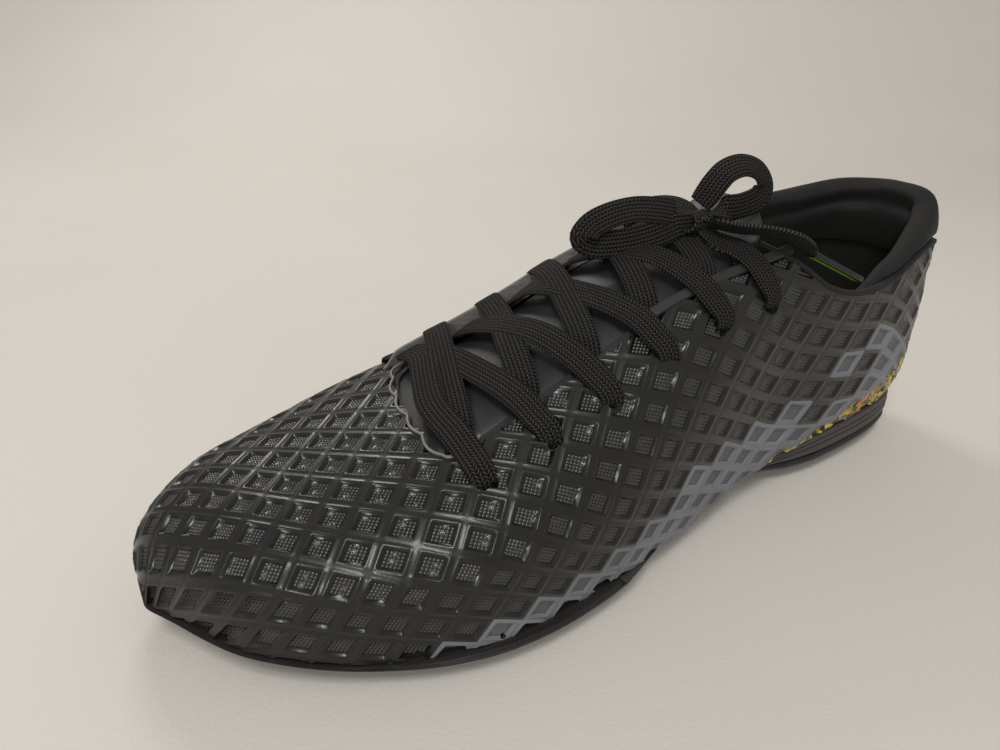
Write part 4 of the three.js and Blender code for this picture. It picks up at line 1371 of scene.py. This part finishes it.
def make_insole():
    """A footbed with a rim that climbs at the heel and the arch."""
    ts = np.linspace(0.01, 0.955, 110)
    climb = {LATERAL: ((0, 0.15, 0.35, 0.5, 1), (13, 13, 10, 4, 3)),
             MEDIAL: ((0, 0.12, 0.28, 0.48, 0.65, 1), (13, 15, 22, 12, 4, 3))}
    rings = []
    for t in ts:
        seat = seat_at(t)
        half = {}
        for side in (LATERAL, MEDIAL):
            rim = float(np.interp(float(share_of(t)), *climb[side]))
            heights = seat + 0.4 + rim * np.array([0, 0.35, 0.7, 1.0])
            z, levels = back_levels(t)
            wall = [skin_point(t, float(np.interp(h, z, levels)), side, WALL + 0.7) for h in heights]
            inner = [skin_point(t, float(np.interp(h, z, levels)), side, WALL + 0.7 + w)
                     for h, w in zip(heights[::-1], (0.6, 1.6, 2.6, 4.5))]
            inner[-1][2] = seat + 2.9
            half[side] = (wall, inner)
        middle = (half[LATERAL][1][-1] + half[MEDIAL][1][-1]) / 2
        middle[2] = seat + 2.6
        low = middle.copy()
        low[2] = seat + 0.2
        for side in (LATERAL, MEDIAL):
            half[side][0][0][2] = seat + 0.2
        rings.append([low, *half[LATERAL][0], *half[LATERAL][1], middle, *half[MEDIAL][1][::-1],
                      *half[MEDIAL][0][::-1]])
    loft_piece("footbed", rings, [MATERIALS["insole"]], ["insole"], sharp=60)


# Sole
def plate_top(t):
    """The top of the rubber's rim: thick at the heel, a thin flange in front."""
    share = float(share_of(t))
    thick = np.interp(share, (0.55, 0.65), (4.0, 2.8))
    under_skin = np.interp(share, (0.55, 0.65), (1.0, 0.15))
    return max(min(tread_at(t) + thick, edge_at(t) - under_skin), tread_at(t) + 0.6)


def narrowing(t, z):
    """How far the sole draws in under the skin at the waist, most at its foot."""
    most = np.interp(LENGTH * float(share_of(t)), (65, 80, 91, 104, 150, 168), (0, 1.5, 4, 7, 7, 0))
    rise = (z - tread_at(t)) / (edge_at(t) - tread_at(t))
    return most * (1 - min(max(rise, 0), 1))


def sole_ring(t, section):
    """A ring across the sole from its section: outward distances from the rim, and heights."""
    flare = flare_at(t)
    halves = []
    for side in (LATERAL, MEDIAL):
        most = 0.8 * (float(half_at(t, side)) + flare)
        halves.append([np.append(rim_point(t, side, flare + max(out - narrowing(t, z), -most)), z)
                       for out, z in section])
    return halves[0] + halves[1][::-1]


def rim_section(profile, low, high):
    return [(out, low + (high - low) * share) for out, share in profile]


# Rims from the foot up: outward from the plan outline in millimetres, share of the height
PLATE_RIM = [
    (-9.0, -0.02), (-6.5, 0.0), (-3.2, 0.0), (-1.7, 0.05), (-0.7, 0.16), (-0.1, 0.32), (0.15, 0.5),
    (0.1, 0.64), (-0.35, 0.70), (-0.55, 0.76), (-0.3, 0.82), (-0.2, 0.9), (-0.5, 0.97), (-1.2, 1.0),
]
WEDGE_RIM = [
    (-6.0, 0.0), (-1.6, 0.0), (-0.6, 0.03), (-0.1, 0.09), (0.15, 0.2), (0.1, 0.36), (-0.3, 0.415),
    (-1.1, 0.43), (-1.1, 0.465), (-0.3, 0.48), (0.0, 0.52), (0.05, 0.60), (-0.2, 0.665), (-1.0, 0.68),
    (-1.0, 0.71), (-0.4, 0.725), (-0.2, 0.78), (-0.3, 0.9), (-0.6, 0.96), (-1.4, 1.0),
]


def plate_section(t):
    share = float(share_of(t))
    slim = 1.3 * float(smooth_step(share, 0.55, 0.65)) + 0.9 * float(smooth_step(share, 0.80, 0.92))
    rim = rim_section([(out - slim, rise) for out, rise in PLATE_RIM], tread_at(t), plate_top(t))
    inner = seat_at(t) - 0.1 if share > MIDSOLE_END else plate_top(t)
    return [*rim, (-6.0, plate_top(t)), (-7.5, inner)]


def wedge_section(t):
    low = plate_top(t) + GAP
    high = max(edge_at(t) - 0.1, low + 0.4)
    return [*rim_section(WEDGE_RIM, low, high), (-6.0, high), (-7.5, max(seat_at(t) - 0.05, high))]


NUB_ROWS = [
    (0.040, 2), (0.095, 4), (0.155, 4), (0.215, 4), (0.270, 3), (0.545, 4), (0.605, 5),
    (0.665, 6), (0.725, 6), (0.785, 5), (0.840, 4), (0.885, 3), (0.925, 2),
]
# How far inside the outline the outer nubs stand: along, distance
NUB_MARGIN = ((0.7, 0.85), (11.0, 21.0))


def nub_rings(along, across):
    """A short tapered stud with a filleted root and a bevelled foot."""
    t = t_at(along)
    top = tread_at(t) + 0.6
    spring = max(tread_at(t) - tread_at(t_at(0.8)), 0)
    foot = 0.9 * spring if along > 0.8 else 0.0
    turn = np.linspace(0, 2 * np.pi, 18, endpoint=False)
    shape = 1 - 0.06 * np.cos(6 * turn)
    rings = []
    for radius, height in ((5.0, top), (4.4, top - 0.6), (4.1, top - 1.4), (3.45, foot + 0.7),
                           (3.2, foot + 0.2), (2.9, foot)):
        x, y = radius * shape * np.cos(turn) - LENGTH * along, radius * shape * np.sin(turn) + across
        rings.append(np.stack([x, y, np.full(turn.shape, height)], -1))
    return np.array(rings)


def make_sole():
    ts = np.concatenate([np.linspace(0, t_at(MIDSOLE_END), 90),
                         np.linspace(t_at(MIDSOLE_END + 0.002), 1, 90)])
    loft_piece("sole_plate", [sole_ring(t, plate_section(t)) for t in ts], [MATERIALS["rubber"]],
               ["outsole"], sharp=45)
    parts = []
    for along, count in NUB_ROWS:
        t = t_at(along)
        margin = np.interp(along, *NUB_MARGIN)
        ends = [rim_point(t, side, flare_at(t) - margin)[1] for side in (LATERAL, MEDIAL)]
        for across in np.linspace(*ends, count):
            rings = nub_rings(along, across)
            parts.append((rings, rings[..., :2]))
    joined_lofts("nubs", parts, [MATERIALS["rubber"]])


# The ribs' run along the length, and how far each stands out
RIB_START, RIB_END, RIB_STEPS = 0.50, 0.81, 480
RIB_PROUD = 0.55


def make_rib_strip():
    """Fine upright ribs beside the ball, between the skin and the flange."""
    rings = []
    for k, t in enumerate(np.linspace(t_at(RIB_START), t_at(RIB_END), RIB_STEPS)):
        low, high = plate_top(t) - 0.1, edge_at(t) + 0.3
        proud = RIB_PROUD if (k // 2) % 2 else 0.0
        rib = [(-4.5, low), (-2.3 + proud, low + 0.1), (-2.5 + proud, high - 0.2), (-4.5, high)]
        rings.append(sole_ring(t, rib))
    loft_piece("rib_strip", rings, [MATERIALS["rubber"]], sharp=30)


def make_midsole():
    """The heel wedge, with level grooves that run together at the waist."""
    ts = np.linspace(0, t_at(MIDSOLE_END), 110)
    loft_piece("heel_wedge", [sole_ring(t, wedge_section(t)) for t in ts], [MATERIALS["foam"]],
               ["midsole"], sharp=60)


make_camera()
make_bow()
make_knot()
make_laces()
make_floor()
make_light()
make_skin()
make_beads()
make_backing()
make_edging()
make_front_edge()
make_heel_tape()
make_collar()
make_tongue()
make_insole()
make_sole()
make_rib_strip()
make_midsole()
